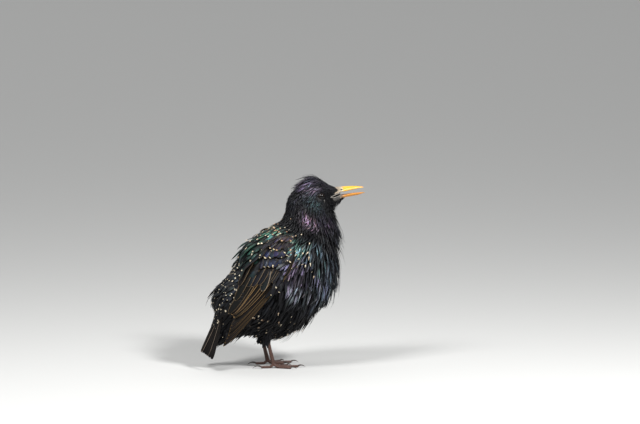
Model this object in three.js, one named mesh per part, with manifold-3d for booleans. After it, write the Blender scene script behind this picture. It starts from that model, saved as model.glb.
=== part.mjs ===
// A common starling in breeding plumage, singing on level ground: a life-size still model.
// Millimetres, +Z up, the bill towards +X, the right side towards -Y, the toes resting on z = 0.
// The plumage is fluffed, the throat hackles stand out, the wings droop and the tail is pressed down.
import * as THREE from 'three';
import { mergeVertices } from 'three/addons/utils/BufferGeometryUtils.js';
import Module from 'manifold-3d';

const wasm = await Module();
wasm.setup();

// Gap between neighbouring nodes, and the size of the slivers that are taken off a joined node
const GAP = 0.3;
const SLIVER = 0.1;

// The body from the bill's root to the tail: each section is a closed oval through a point on the
// back and a point on the front (x, z), with its half width, where between them it is widest and
// how far the plumage stands out from it
const SECTIONS = [
  { name: 'bill root', back: [62.6, 158.6], front: [63.8, 148.1], half: 4.6, widest: 0.55, coat: 0.0 },
  { name: 'forehead', back: [54.9, 159.6], front: [59.0, 144.3], half: 8.6, widest: 0.55, coat: 0.5 },
  { name: 'eyes', back: [46.9, 163.2], front: [55.1, 140.2], half: 11.4, widest: 0.52, coat: 0.8 },
  { name: 'crown', back: [36.8, 165.0], front: [56.0, 134.2], half: 13.4, widest: 0.5, coat: 1.4 },
  { name: 'nape', back: [24.9, 157.3], front: [57.8, 127.8], half: 15.2, widest: 0.5, coat: 2.2 },
  { name: 'throat', back: [17.4, 148.0], front: [59.1, 119.7], half: 17.4, widest: 0.52, coat: 3 },
  { name: 'neck', back: [15.2, 137.4], front: [58.2, 110.7], half: 20.0, widest: 0.54, coat: 3 },
  { name: 'neck base', back: [11.1, 129.0], front: [57.2, 101.8], half: 24.0, widest: 0.54, coat: 3 },
  { name: 'mantle', back: [2.8, 124.2], front: [57.2, 90.3], half: 28.6, widest: 0.52, coat: 3 },
  { name: 'breast', back: [-8.8, 116.0], front: [55.2, 75.5], half: 31.6, widest: 0.5, coat: 3 },
  { name: 'back', back: [-20.8, 105.8], front: [49.6, 60.6], half: 32.8, widest: 0.5, coat: 3 },
  { name: 'flanks', back: [-28.6, 91.1], front: [39.4, 50.7], half: 31.8, widest: 0.5, coat: 3 },
  { name: 'belly', back: [-37.0, 81.4], front: [25.9, 38.5], half: 29.0, widest: 0.5, coat: 3 },
  { name: 'rump', back: [-46.0, 70.6], front: [10.4, 29.8], half: 24.4, widest: 0.48, coat: 2.6 },
  { name: 'vent', back: [-50.4, 59.9], front: [-7.9, 30.9], half: 18.6, widest: 0.45, coat: 2.2 },
  { name: 'tail root', back: [-48.9, 50.4], front: [-23.5, 31.2], half: 13.4, widest: 0.42, coat: 1.4 },
  { name: 'upper coverts', back: [-51.6, 40.4], front: [-39.0, 25.0], half: 11.2, widest: 0.4, coat: 0.8 },
  { name: 'under coverts', back: [-54.6, 30.4], front: [-49.8, 21.6], half: 10.6, widest: 0.4, coat: 0.4 },
];
const LAST_SECTION = SECTIONS.length - 1;
const TAIL_SECTION = 15;
const OVAL_SIDES = 20;

// The head is turned a little to the right, from the base of the neck upwards
const HEAD_TURN = THREE.MathUtils.degToRad(-8);
const TURN_AXIS_X = 28;
const TURN_FROM_Z = 112;
const TURN_TO_Z = 140;

// Three thin cuts part the body: below the head, at the base of the neck and at the tail's root,
// each through a point at the back and one at the front (x, z)
const CUTS = [
  { back: [14, 147.5], front: [62, 136] },
  { back: [6, 129.5], front: [66, 101] },
  { back: SECTIONS[TAIL_SECTION].back, front: SECTIONS[TAIL_SECTION].front },
];
const BODY_NODES = ['head', 'neck', 'torso', 'tail'];

// The wing lies against the body from the wrist to its tip (x, z). Its outline is given along that
// line and above it: the edge that hangs lowest, the edge next to the back, and the height of its
// upper face over the skin
const WRIST = [26, 104];
const WING_TIP = [-43, 17];
const WING_TIP_Y = 13.5;
const WING_SPREAD_PER_MM = 0.27;
const WING_SPREAD_LENGTH = 60;
// How softly the wing's face passes from the body's side to the free wing
const WING_BLEND = 4;
const WING_THICKNESS = 3;
// Above one line the folded wing curves over the back, and before another round the shoulder, along
// curves of these radii
const WING_CAMBER = { above: 12, radius: 22, before: 10, shoulder: 22 };
const WING_OUTLINE = [
  { along: 2, low: 12, high: 20, height: 1.6 },
  { along: 14, low: 8, high: 27, height: 3 },
  { along: 32, low: 4, high: 29.5, height: 3 },
  { along: 52, low: 4, high: 26.5, height: 2.2 },
  { along: 72, low: 4, high: 20.5, height: 1.6 },
  { along: 92, low: 4.5, high: 13.5, height: 1.4 },
];

// Rows of wing feathers, from the flight feathers up to the shoulder. Each row runs from its first
// feather, which hangs lowest, to its last: root and tip are given along the wing's line and above it
const WING_ROWS = [
  { name: 'primaries', count: 6, roots: [[24, 6], [31, 12]],
    tips: [[107, 5.5], [91, 13]], width: 5.6, layer: 1.6 },
  { name: 'secondaries', count: 5, roots: [[34, 11], [38, 21]],
    tips: [[88, 14], [73, 20]], width: 6.2, layer: 2.2 },
  { name: 'tertials', count: 3, roots: [[34, 21], [36, 27]],
    tips: [[80, 19], [59, 26]], width: 7.6, layer: 2.9 },
  { name: 'greater coverts', count: 7, roots: [[13, 7], [32, 25]],
    tips: [[37, 6], [53, 22]], width: 6, layer: 3.2 },
  { name: 'median coverts', count: 5, roots: [[8, 11], [22, 27]],
    tips: [[21, 12], [35, 25]], width: 7, layer: 3.9 },
  { name: 'lesser coverts', count: 4, roots: [[0, 15], [12, 27]],
    tips: [[11, 14], [25, 28]], width: 7, layer: 4.5 },
  { name: 'scapulars', count: 4, roots: [[1, 20], [30, 28.5]], tips: [[18, 25], [48, 26.5]], width: 8, layer: 5 },
];
const VANE_THICKNESS = 0.54;
const STEEPEST_VANE = 0.5;
// How far roots, tips and widths differ from an even row
const ROOT_LOOSENESS = 0.2;
const TIP_LOOSENESS = 0.5;
const WIDTH_LOOSENESS = 0.05;
const VANE_ROOT_HEIGHT = 1;
// Half width of a vane along its length, as a share of its greatest, for long and short feathers
const VANE_SHAPE = [[0, 0.6], [0.45, 1], [0.86, 0.82], [1, 0.3]];
const COVERT_SHAPE = [[0, 0.7], [0.62, 1], [1, 0.45]];
const LONG_VANE = 36;

// The tail: its line from root to tip (x, z), its feathers, and how far apart their middles lie
const TAIL_ROOT = [-47, 48];
const TAIL_TIP = [-64.5, 14.5];
const TAIL_FEATHERS = 12;
const TAIL_ROOT_PITCH = 1.5;
const TAIL_TIP_PITCH = 3.2;
const TAIL_FEATHER_WIDTH = 7;
const TAIL_LAYER = 0.84;
const TAIL_NOTCH = 0.05;

// Where the plumage stands out in locks: from and to are stations down the body, edges the angles
// from the front, pitch the distance between locks, and length, width and lift run from the first
// row to the last
const COAT = [
  { name: 'crest', from: 2.3, to: 4.1, step: 0.6, edges: [142, 180], pitch: 4.6,
    length: [9, 12], width: [3, 3.6], lift: [2.6, 4.8] },
  { name: 'chin', from: 1.6, to: 4, step: 0.8, edges: [0, 88], pitch: 6.4,
    length: [9, 16], width: [3.4, 5.6], lift: [1.6, 3.6] },
  { name: 'throat', from: 4.8, to: 7, step: 0.74, edges: [0, 118], pitch: 8,
    length: [18, 21], width: [5.8, 7], lift: [4, 4.6] },
  { name: 'breast', from: 7.7, to: 10.3, step: 0.87, edges: [0, 84], pitch: 10,
    length: [21, 21], width: [7.8, 8.6], lift: [4.6, 4.8] },
  { name: 'belly', from: 11.1, to: 14.1, step: 1, edges: [0, 66], pitch: 11,
    length: [19, 15], width: [9, 8], lift: [4.8, 4] },
  { name: 'mantle', from: 7.6, to: 10.9, step: 1.1, edges: [140, 180], pitch: 9.4,
    length: [17, 18], width: [8.4, 6.6], lift: [1.8, 4.6] },
  { name: 'rump', from: 12.1, to: 14.9, step: 0.93, edges: [118, 180], pitch: 9,
    length: [15, 14], width: [8, 6.4], lift: [2, 4] },
  { name: 'upper tail coverts', from: 15.5, to: 15.5, step: 1, edges: [130, 180], pitch: 7,
    length: [14, 12], width: [6.4, 6], lift: [1.6, 1] },
  { name: 'under tail coverts', from: 15.3, to: 15.3, step: 1, edges: [0, 60], pitch: 7.6,
    length: [20, 12], width: [7, 6], lift: [1.6, 1] },
];
const LOCK_SINK = 1.4;
const LOCK_THICKNESS = 1.1;
const LOCK_TIP_THICKNESS = 0.25;
// How far the locks' length, width, lift, lean and station differ from an even row
const LOCK_LOOSENESS = { length: 0.12, width: 0.08, lift: 0.16, lean: 0.14, station: 0.1 };
// Half width of a lock along its length, as a share of its greatest, and its share of the lift
const LOCK_SHAPE = [[0, 0.6, 0], [0.45, 1, 0.42], [0.8, 0.66, 0.76], [1, 0.06, 1]];
// The locks round a shank: their stations above the heel, away from its middle, and half widths
const SHANK_LOCKS = 6;
const SHANK_LOCK_SHAPE = [[12, 5.2, 1.5], [6, 4, 2.2], [1.5, 3.5, 1.5], [-2.5, 3.4, 0.2]];
const SHANK_LOCK_SLOPE = 0.15;
// Room that the wing's feathers need around its inner form
const WING_ROOM = 2.4;
const COAT_SEED = 7;
const WING_SEED = 11;

// The open bill, by distance forward: the ridge and the cutting edge of the upper half, the cutting
// edge and the lower line of the lower half, and half the width of both
const UPPER_BILL = [
  { x: 62.9, outer: 158.4, edge: 154.6, half: 3.7 },
  { x: 68.7, outer: 159.0, edge: 155.5, half: 3.0 },
  { x: 74.1, outer: 159.2, edge: 156.6, half: 2.2 },
  { x: 79.0, outer: 159.1, edge: 157.5, half: 1.4 },
  { x: 82.2, outer: 158.8, edge: 157.9, half: 0.8 },
  { x: 83.8, outer: 158.4, edge: 158.15, half: 0.25 },
];
const LOWER_BILL = [
  { x: 63.0, outer: 148.2, edge: 151.5, half: 3.5 },
  { x: 68.7, outer: 149.5, edge: 152.3, half: 2.8 },
  { x: 73.8, outer: 150.5, edge: 153.0, half: 2.1 },
  { x: 79.0, outer: 151.7, edge: 153.5, half: 1.4 },
  { x: 83.0, outer: 152.9, edge: 153.7, half: 0.75 },
  { x: 85.0, outer: 153.3, edge: 153.55, half: 0.25 },
];
const GAPE = { x: 55.2, z: 148.9, half: 12 };
const NOSTRIL = { x: 65.4, z: 156.5, y: 3.2, size: [1.6, 0.7, 0.5] };

// The eye, its lids and its place in the side view
const EYE = { x: 45.0, z: 152.1, radius: 3.1, bulge: 1.0, lid: 0.55 };

// The legs: half the distance between them, the feathered shank's top and bottom and the foot (x, z)
const LEG_APART = 10.5;
const SHANK = { top: [-1, 42], heel: [-5, 26], wide: 8, narrow: 2.6 };
const FOOT = [0.5, 3.2];
const TARSUS = { foreAft: 1.6, sideways: 1.25 };
// Each toe: its bearing from straight ahead, outwards, its length without claw and its claw's length
const TOES = [
  { name: 'inner', bearing: -26, length: 15, claw: 5.5 },
  { name: 'middle', bearing: 4, length: 22, claw: 6.5 },
  { name: 'outer', bearing: 32, length: 16, claw: 5.5 },
  { name: 'hind', bearing: 184, length: 11, claw: 8 },
];
const TOE_RADIUS = 1.3;
const TOE_FLAT = 0.25;
const CLAW_TIP_Z = 0.4;
const CLAW_ARCH = 0.75;

// Finishes
const FINISH = {
  plumage: { color: 0x15151b, roughness: 0.45, metalness: 0.3 },
  hackles: { color: 0x1d1a2b, roughness: 0.4, metalness: 0.35 },
  flight: { color: 0x2a231d, roughness: 0.55, metalness: 0.1 },
  bill: { color: 0xe6a51c, roughness: 0.4, metalness: 0 },
  eye: { color: 0x120c08, roughness: 0.05, metalness: 0 },
  leg: { color: 0x6b3a2a, roughness: 0.6, metalness: 0 },
  claw: { color: 0x2a1d18, roughness: 0.4, metalness: 0 },
};

// Seeded random numbers, so that the feathers vary alike on every build
function makeRandom(seed) {
  let state = seed;
  return (low, high) => {
    state = (state * 1664525 + 1013904223) % 4294967296;
    return low + ((high - low) * state) / 4294967296;
  };
}

const mix = THREE.MathUtils.lerp;
const vec = (x, y, z) => new THREE.Vector3(x, y, z);

// A closed solid through rings of points. The second half of each ring is split along the other
// diagonal, so that the two faces of a thin feather are cut into the same triangles.
function loft(rings) {
  const count = rings[0].length;
  const points = rings.flat();
  const corners = [];
  for (let ring = 0; ring < rings.length - 1; ring += 1) {
    for (let side = 0; side < count; side += 1) {
      const a = ring * count + side;
      const b = ring * count + ((side + 1) % count);
      const c = a + count;
      const d = b + count;
      corners.push(...(side < count / 2 ? [a, b, d, a, d, c] : [a, b, c, b, d, c]));
    }
  }
  corners.push(...endCap(points, 0, count).reverse());
  corners.push(...endCap(points, points.length - count - (count > 6 ? 1 : 0), count));
  return toSolid(points, corners);
}

// The flat end of a loft: a fan from its middle, or from its first corner when it has few sides
function endCap(points, first, count) {
  const corners = [];
  if (count > 6) {
    const middle = vec(0, 0, 0);
    for (let side = 0; side < count; side += 1) middle.addScaledVector(points[first + side], 1 / count);
    points.push(middle);
    for (let side = 0; side < count; side += 1) {
      corners.push(first + side, first + ((side + 1) % count), points.length - 1);
    }
    return corners;
  }
  for (let side = 1; side < count - 1; side += 1) corners.push(first, first + side, first + side + 1);
  return corners;
}

// A solid from points and triangle corners, turned right side out
function toSolid(points, corners) {
  let volume = 0;
  for (let at = 0; at < corners.length; at += 3) {
    const [a, b, c] = [0, 1, 2].map((step) => points[corners[at + step]]);
    volume += a.dot(b.clone().cross(c));
  }
  if (volume < 0) corners.reverse();
  const geometry = new THREE.BufferGeometry().setFromPoints(points);
  geometry.setIndex(corners);
  const merged = mergeVertices(geometry, 1e-5);
  return new wasm.Manifold(new wasm.Mesh({
    numProp: 3,
    vertProperties: new Float32Array(merged.attributes.position.array),
    triVerts: new Uint32Array(merged.index.array),
  }));
}

const join = (solids) => solids.reduce((whole, solid) => whole.add(solid));

// The largest closed surface of a solid
function largest(solid) {
  return solid.decompose().reduce((best, part) => (part.volume() > best.volume() ? part : best));
}

// Cut away one side of a plane that stands across the body through two points (x, z)
function trimmed(solid, cut, keepUpper, past = 0) {
  const along = vec(cut.front[0] - cut.back[0], 0, cut.front[1] - cut.back[1]).normalize();
  const up = vec(-along.z, 0, along.x);
  const offset = up.x * cut.back[0] + up.z * cut.back[1];
  const normal = keepUpper ? up : up.clone().negate();
  return solid.trimByPlane([normal.x, normal.y, normal.z], (keepUpper ? offset : -offset) + GAP / 2 - past);
}

// Turn a point of the straight bird with its head
function turned(point) {
  const share = THREE.MathUtils.smoothstep(point.z, TURN_FROM_Z, TURN_TO_Z);
  const reach = vec(point.x - TURN_AXIS_X, point.y, 0).applyAxisAngle(vec(0, 0, 1), HEAD_TURN * share);
  return vec(reach.x + TURN_AXIS_X, reach.y, point.z);
}

// Smooth curves along the body, one for each column of the sections
const sectionCurve = (column) => new THREE.SplineCurve(
  SECTIONS.map((section) => new THREE.Vector2(...column(section))),
);
const backLine = sectionCurve((section) => section.back);
const frontLine = sectionCurve((section) => section.front);
const widthLine = sectionCurve((section) => [section.half, section.widest]);
const coatLine = sectionCurve((section) => [section.coat, 0]);
const coatDepth = (station) => coatLine.getPoint(station / LAST_SECTION).x;

// A point of the straight bird's skin: station counts the sections, and around is the angle from
// the front (0) over the bird's left (90) or right (-90) side to the back (180)
function straightSkin(station, around) {
  const share = THREE.MathUtils.clamp(station / LAST_SECTION, 0, 1);
  const back = backLine.getPoint(share);
  const front = frontLine.getPoint(share);
  const { x: half, y: widest } = widthLine.getPoint(share);
  const angle = THREE.MathUtils.degToRad(around);
  const middle = back.clone().lerp(front, widest);
  const end = Math.cos(angle) > 0 ? front : back;
  middle.lerp(end, Math.abs(Math.cos(angle)));
  return vec(middle.x, half * Math.sin(angle), middle.y);
}

const skin = (station, around) => turned(straightSkin(station, around));

// The skin's own directions at a place: down the body, around it, and straight out
function skinFrame(station, around) {
  const step = 0.02;
  const point = skin(station, around);
  const down = skin(station + step, around).sub(skin(station - step, around)).divideScalar(2 * step);
  const across = skin(station, around + 1).sub(skin(station, around - 1)).divideScalar(2);
  const out = down.clone().cross(across).normalize();
  const centre = skin(station, 0).lerp(skin(station, 180), 0.5);
  if (out.dot(point.clone().sub(centre)) < 0) out.negate();
  return { point, down, across, out };
}

// The body, grown outwards by a share of its coat and by a gap
function bodyForm(coatShare, gap) {
  const rings = [];
  for (let station = 0; station <= LAST_SECTION; station += 1) {
    const grow = coatDepth(station) * coatShare + gap;
    const ring = [];
    for (let side = 0; side < OVAL_SIDES; side += 1) {
      const around = (side * 360) / OVAL_SIDES;
      const inside = THREE.MathUtils.clamp(station, 0.05, LAST_SECTION - 0.05);
      const out = skinFrame(inside, around).out;
      if (station === 0) out.projectOnPlane(endPlane()).normalize();
      ring.push(skin(station, around).addScaledVector(out, grow));
    }
    rings.push(ring);
  }
  return loft(rings);
}

// The way that the body's front end faces, where the bill is set on
function endPlane() {
  const across = skin(0, 90).sub(skin(0, -90));
  return skin(0, 0).sub(skin(0, 180)).cross(across).normalize();
}

// The side view's frame of the wing: forward along the wing and upwards from its line
const wingLine = vec(WING_TIP[0] - WRIST[0], 0, WING_TIP[1] - WRIST[1]).normalize();
const wingRise = vec(-wingLine.z, 0, wingLine.x).multiplyScalar(-1);

// Half the body's breadth at a place in the side view, and 0 outside its outline
function bodyBreadth(x, z) {
  const place = new THREE.Vector2(x, z);
  const beyond = (station) => {
    const back = backLine.getPoint(station / LAST_SECTION);
    const across = frontLine.getPoint(station / LAST_SECTION).sub(back);
    return across.cross(place.clone().sub(back)) < 0;
  };
  let low = 5;
  let high = LAST_SECTION;
  for (let halving = 0; halving < 16; halving += 1) {
    const middle = (low + high) / 2;
    if (beyond(middle)) low = middle;
    else high = middle;
  }
  const back = backLine.getPoint(low / LAST_SECTION);
  const across = frontLine.getPoint(low / LAST_SECTION).sub(back);
  const { x: half, y: widest } = widthLine.getPoint(low / LAST_SECTION);
  const share = place.sub(back).dot(across) / across.lengthSq();
  const away = share > widest ? (share - widest) / (1 - widest) : (widest - share) / widest;
  return away < 1 ? half * Math.sqrt(1 - away * away) : 0;
}

// A point of the right wing's face: along the wing, above its line, and out from the face
function wingPlace(along, above) {
  const x = WRIST[0] + wingLine.x * along + wingRise.x * above;
  const z = WRIST[1] + wingLine.z * along + wingRise.z * above;
  const reach = Math.hypot(WING_TIP[0] - WRIST[0], WING_TIP[1] - WRIST[1]) - along;
  const body = bodyBreadth(x, z);
  const over = Math.max(above - WING_CAMBER.above, 0) / WING_CAMBER.radius;
  const ahead = Math.max(WING_CAMBER.before - along, 0) / WING_CAMBER.shoulder;
  const spread = WING_TIP_Y + WING_SPREAD_PER_MM * Math.min(reach, WING_SPREAD_LENGTH);
  const free = spread * Math.sqrt(Math.max(1 - over * over - ahead * ahead, 0.04));
  return vec(x, -0.5 * (body + free + Math.hypot(body - free, WING_BLEND)), z);
}

function wingPoint(along, above, height) {
  const step = 1;
  const lengthwise = wingPlace(along + step, above).sub(wingPlace(along - step, above));
  const crosswise = wingPlace(along, above + step).sub(wingPlace(along, above - step));
  const out = lengthwise.cross(crosswise).normalize();
  if (out.y > 0) out.negate();
  return wingPlace(along, above).addScaledVector(out, height);
}

// The wing's inner form, from the wrist along the arm, or with room around it for the feathers
function wingForm(room) {
  const rings = WING_OUTLINE.map(({ along, low, high, height }) => {
    const upper = [0, 0.25, 0.5, 0.75, 1].map((share) => (
      wingPoint(along, mix(low - room, high + room, share), height + room)));
    const lower = [1, 0.75, 0.5, 0.25, 0].map((share) => (
      wingPoint(along, mix(low - room, high + room, share), height - WING_THICKNESS - room)));
    return [...upper, ...lower];
  });
  return loft(rings);
}

// A feather: a tapered blade through stations, each with its middle, the way across it, the way out
// of it, half its width and its thickness. A flat vane has square edges, and a lock a ridge.
function blade(stations, ridged) {
  return loft(stations.map(({ at, across, out, half, thick }) => {
    const corner = (sideways, face) => (
      at.clone().addScaledVector(across, sideways * half).addScaledVector(out, face * thick));
    return ridged
      ? [corner(-1, -0.4), corner(0, 0.6), corner(1, -0.4)]
      : [corner(-1, 0.5), corner(1, 0.5), corner(1, -0.5), corner(-1, -0.5)];
  }));
}

// One feather of the right wing, tilted to raise its lower edge over the feather below it
function wingFeather({ root, tip, width, layer, tilt }) {
  const shape = tip[0] - root[0] > LONG_VANE ? VANE_SHAPE : COVERT_SHAPE;
  return blade(shape.map(([share, half]) => {
    const along = mix(root[0], tip[0], share);
    const above = mix(root[1], tip[1], share);
    const height = mix(layer, VANE_ROOT_HEIGHT, (1 - share) ** 3);
    const at = wingPoint(along, above, height);
    const rise = wingPoint(along, above + 1, height).sub(at).normalize();
    const out = wingPoint(along, above, height + 1).sub(at);
    const across = rise.clone().multiplyScalar(Math.cos(tilt)).addScaledVector(out, -Math.sin(tilt));
    const face = out.clone().multiplyScalar(Math.cos(tilt)).addScaledVector(rise, Math.sin(tilt));
    return { at, across, out: face, half: (half * width) / 2, thick: VANE_THICKNESS };
  }), false);
}

// The feathers of a wing, row by row, each a little different from the next. The closer they lie,
// the more they tilt, which keeps a gap between neighbours.
function wingFeathers(random) {
  return WING_ROWS.flatMap(({ count, roots, tips, width, layer }) => {
    const pitch = (roots[1][1] - roots[0][1] + tips[1][1] - tips[0][1]) / 2 / (count - 1);
    const tilt = Math.asin(Math.min(STEEPEST_VANE, (VANE_THICKNESS + GAP) / pitch));
    return Array.from({ length: count }, (_, index) => {
      const place = ([first, last], loose) => first.map((value, axis) => (
        mix(value, last[axis], index / (count - 1)) + random(-loose, loose)));
      const root = place(roots, ROOT_LOOSENESS);
      const tip = place(tips, TIP_LOOSENESS);
      const breadth = width * random(1 - WIDTH_LOOSENESS, 1 + WIDTH_LOOSENESS);
      return wingFeather({ root, tip, width: breadth, layer, tilt });
    });
  });
}

// The tail's feathers: the middle pair lies on top, one over the other, and each outer feather lies
// a little apart below its neighbour
function tailFeathers() {
  const down = vec(TAIL_TIP[0] - TAIL_ROOT[0], 0, TAIL_TIP[1] - TAIL_ROOT[1]);
  const out = vec(down.z, 0, -down.x).normalize();
  return Array.from({ length: TAIL_FEATHERS }, (_, index) => {
    const place = index - (TAIL_FEATHERS - 1) / 2;
    const reach = 1 - TAIL_NOTCH * (1 - Math.abs(place) / (TAIL_FEATHERS / 2));
    const level = place === -0.5 ? 0 : Math.abs(place) + 0.5;
    return blade(VANE_SHAPE.map(([share, half]) => ({
      at: vec(TAIL_ROOT[0], place * mix(TAIL_ROOT_PITCH, TAIL_TIP_PITCH, share), TAIL_ROOT[1])
        .addScaledVector(down, share * reach)
        .addScaledVector(out, -level * TAIL_LAYER),
      across: vec(0, 1, 0),
      out,
      half: (half * TAIL_FEATHER_WIDTH) / 2,
      thick: VANE_THICKNESS,
    })), false);
  });
}

// A lock of body feathers: rooted under the skin, it runs down the body and rises towards its tip.
// Grown, it makes the room that the locks of the next node leave around it.
function lock({ station, around, length, width, lift, lean }, grow) {
  const start = skinFrame(station, around);
  const down = (length * Math.cos(lean)) / start.down.length();
  const aside = (length * Math.sin(lean)) / start.across.length();
  return blade(LOCK_SHAPE.map(([share, half, rise]) => {
    const place = skinFrame(Math.min(station + down * share, LAST_SECTION), around + aside * share);
    const slip = Math.max(0, station + down * share - LAST_SECTION) * start.down.length();
    return {
      at: place.point.addScaledVector(place.out, mix(-LOCK_SINK, lift, rise))
        .addScaledVector(place.down.clone().normalize(), slip),
      across: place.across.normalize(),
      out: place.out,
      half: (half * width) / 2 + grow * 2,
      thick: mix(LOCK_THICKNESS, LOCK_TIP_THICKNESS, share) + grow * 2.5,
    };
  }), true);
}

// Every lock of the coat, with its place, size and lie
function coatLocks(random) {
  const locks = [];
  for (const { from, to, step, edges, pitch, length, width, lift } of COAT) {
    const rows = Math.round((to - from) / step);
    for (let row = 0; row <= rows; row += 1) {
      const share = rows ? row / rows : 0;
      const station = mix(from, to, share);
      const degrees = pitch / skinFrame(station, (edges[0] + edges[1]) / 2).across.length();
      const size = (range, loose) => mix(...range, share) * random(1 - loose, 1 + loose);
      for (const side of [-1, 1]) {
        for (let away = (row % 2) / 2; edges[0] + away * degrees <= edges[1]; away += 1) {
          if (away === 0 && edges[0] === 0 && side > 0) continue;
          const fromFront = edges[1] === 180 && edges[0] > 0 ? 180 - away * degrees : away * degrees;
          if (fromFront < edges[0] || (fromFront === 180 && side > 0)) continue;
          locks.push({
            station: station + random(-LOCK_LOOSENESS.station, LOCK_LOOSENESS.station),
            around: side * fromFront,
            length: size(length, LOCK_LOOSENESS.length),
            width: size(width, LOCK_LOOSENESS.width),
            lift: size(lift, LOCK_LOOSENESS.lift),
            lean: random(-LOCK_LOOSENESS.lean, LOCK_LOOSENESS.lean),
          });
        }
      }
    }
  }
  return locks;
}

// One half of the bill: a ridge, two cutting edges and a shallow groove between them
function billHalf(stations) {
  const rootX = (z) => {
    const [back, front] = [SECTIONS[0].back, SECTIONS[0].front];
    return mix(back[0], front[0], (back[1] - z) / (back[1] - front[1])) + GAP;
  };
  const rings = stations.map(({ x, outer, edge, half }, index) => {
    const ring = [];
    for (let angle = 0; angle <= 180; angle += 30) {
      const turn = THREE.MathUtils.degToRad(angle);
      ring.push([half * Math.cos(turn), mix(edge, outer, Math.sin(turn) ** 0.85)]);
    }
    ring.push([-half * 0.4, mix(edge, outer, 0.18)], [half * 0.4, mix(edge, outer, 0.18)]);
    return ring.map(([y, z]) => turned(vec(index === 0 ? rootX(z) : x, y, z)));
  });
  return loft(rings);
}

// A nostril: a slit sunk into one side of the upper bill
function nostril(side) {
  const shape = new THREE.SphereGeometry(1, 10, 6);
  shape.scale(...NOSTRIL.size);
  shape.translate(NOSTRIL.x - TURN_AXIS_X, side * NOSTRIL.y, NOSTRIL.z);
  shape.rotateZ(HEAD_TURN);
  shape.translate(TURN_AXIS_X, 0, 0);
  return fromGeometry(shape);
}

// The open mouth behind the bill: a wedge that narrows to the corner of the gape
function gapeWedge() {
  const upperRoot = UPPER_BILL[0].edge;
  const lowerRoot = LOWER_BILL[0].edge;
  const reach = 1.5;
  const corner = (x, y, z) => turned(vec(x, y, z));
  const mouth = (x, low, high) => [
    corner(x, -GAPE.half, low), corner(x, GAPE.half, low),
    corner(x, GAPE.half, high), corner(x, -GAPE.half, high),
  ];
  const ahead = mix(GAPE.x, UPPER_BILL[0].x, reach);
  return loft([
    mouth(GAPE.x, GAPE.z - 0.06, GAPE.z + 0.06),
    mouth(ahead, mix(GAPE.z, lowerRoot, reach), mix(GAPE.z, upperRoot, reach)),
  ]);
}

// The middle of an eye, set back from the skin so that only its front bulges out
function eyeCentre(side) {
  const breadth = headBreadth(EYE.x, EYE.z);
  return turned(vec(EYE.x, side * (breadth + EYE.bulge - EYE.radius), EYE.z));
}

// Half the straight head's breadth at a place in the side view
function headBreadth(x, z) {
  let best = { gap: Infinity };
  for (let station = 0.5; station < 4; station += 0.02) {
    for (let around = 20; around < 160; around += 1) {
      const point = straightSkin(station, around);
      const gap = Math.hypot(point.x - x, point.z - z);
      if (gap < best.gap) best = { gap, breadth: point.y };
    }
  }
  return best.breadth;
}

function ball(centre, radius) {
  const shape = new THREE.SphereGeometry(radius, 12, 8);
  shape.rotateX(Math.PI / 2);
  shape.translate(...centre.toArray());
  return fromGeometry(shape);
}

function fromGeometry(shape) {
  shape.deleteAttribute('normal');
  shape.deleteAttribute('uv');
  const merged = mergeVertices(shape, 1e-4);
  const { position } = merged.attributes;
  const points = [];
  for (let at = 0; at < position.count; at += 1) points.push(vec().fromBufferAttribute(position, at));
  return toSolid(points, [...merged.index.array]);
}

function lidRing(side) {
  const shape = new THREE.TorusGeometry(EYE.radius * 0.92, EYE.lid, 3, 12);
  shape.scale(1.08, 0.94, 1);
  shape.rotateX(Math.PI / 2);
  shape.rotateZ(HEAD_TURN - side * 0.12);
  const centre = eyeCentre(side);
  const out = vec(0, side, 0).applyAxisAngle(vec(0, 0, 1), HEAD_TURN);
  shape.translate(...centre.addScaledVector(out, EYE.radius * 0.55).toArray());
  return fromGeometry(shape);
}

// A round limb through a line of points, each with its radius along the limb's plane and across it
function limb(points, radii, sides) {
  const rings = points.map((point, index) => {
    const before = points[Math.max(index - 1, 0)];
    const after = points[Math.min(index + 1, points.length - 1)];
    const line = after.clone().sub(before).normalize();
    const across = Math.abs(line.z) > 0.7 ? vec(0, 1, 0) : vec(-line.y, line.x, 0).normalize();
    const ahead = across.clone().cross(line).normalize();
    const [wide, deep] = radii[index];
    const ring = [];
    for (let side = 0; side < sides; side += 1) {
      const angle = (side * 2 * Math.PI) / sides;
      ring.push(point.clone().addScaledVector(across, wide * Math.cos(angle))
        .addScaledVector(ahead, deep * Math.sin(angle)));
    }
    return ring;
  });
  return loft(rings);
}

const heelPoint = (side) => vec(SHANK.heel[0], side * LEG_APART, SHANK.heel[1]);
const footPoint = (side) => vec(FOOT[0], side * (LEG_APART + 1), FOOT[1]);

// The feathered shank, from inside the belly down to the heel
function shankForm(side, grow) {
  const top = vec(SHANK.top[0], side * (LEG_APART + 1), SHANK.top[1]);
  const points = [0, 0.35, 0.7, 1.1].map((share) => top.clone().lerp(heelPoint(side), share));
  const radii = [1, 0.8, 0.5, 0].map((share) => mix(SHANK.narrow, SHANK.wide, share) + grow);
  const form = limb(points, radii.map((radius) => [radius, radius]), 12);
  return form.trimByPlane([0, 0, 1], SHANK.heel[1] + GAP / 2 - grow);
}

// The bare leg with its toes, cut flat where the toes rest on the ground
function legForm(side) {
  const foot = footPoint(side);
  const points = [-0.1, 0.12, 0.5, 0.88, 1.06].map((share) => heelPoint(side).lerp(foot, share));
  const swell = [1.15, 1.05, 0.95, 1.05, 1.2];
  const tarsus = limb(points, swell.map((size) => [TARSUS.sideways * size, TARSUS.foreAft * size]), 8);
  const solid = join([tarsus, ...TOES.map((toe) => toeForm(side, toe))]);
  return largest(solid.trimByPlane([0, 0, 1], 0).trimByPlane([0, 0, -1], GAP / 2 - SHANK.heel[1]));
}

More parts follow.
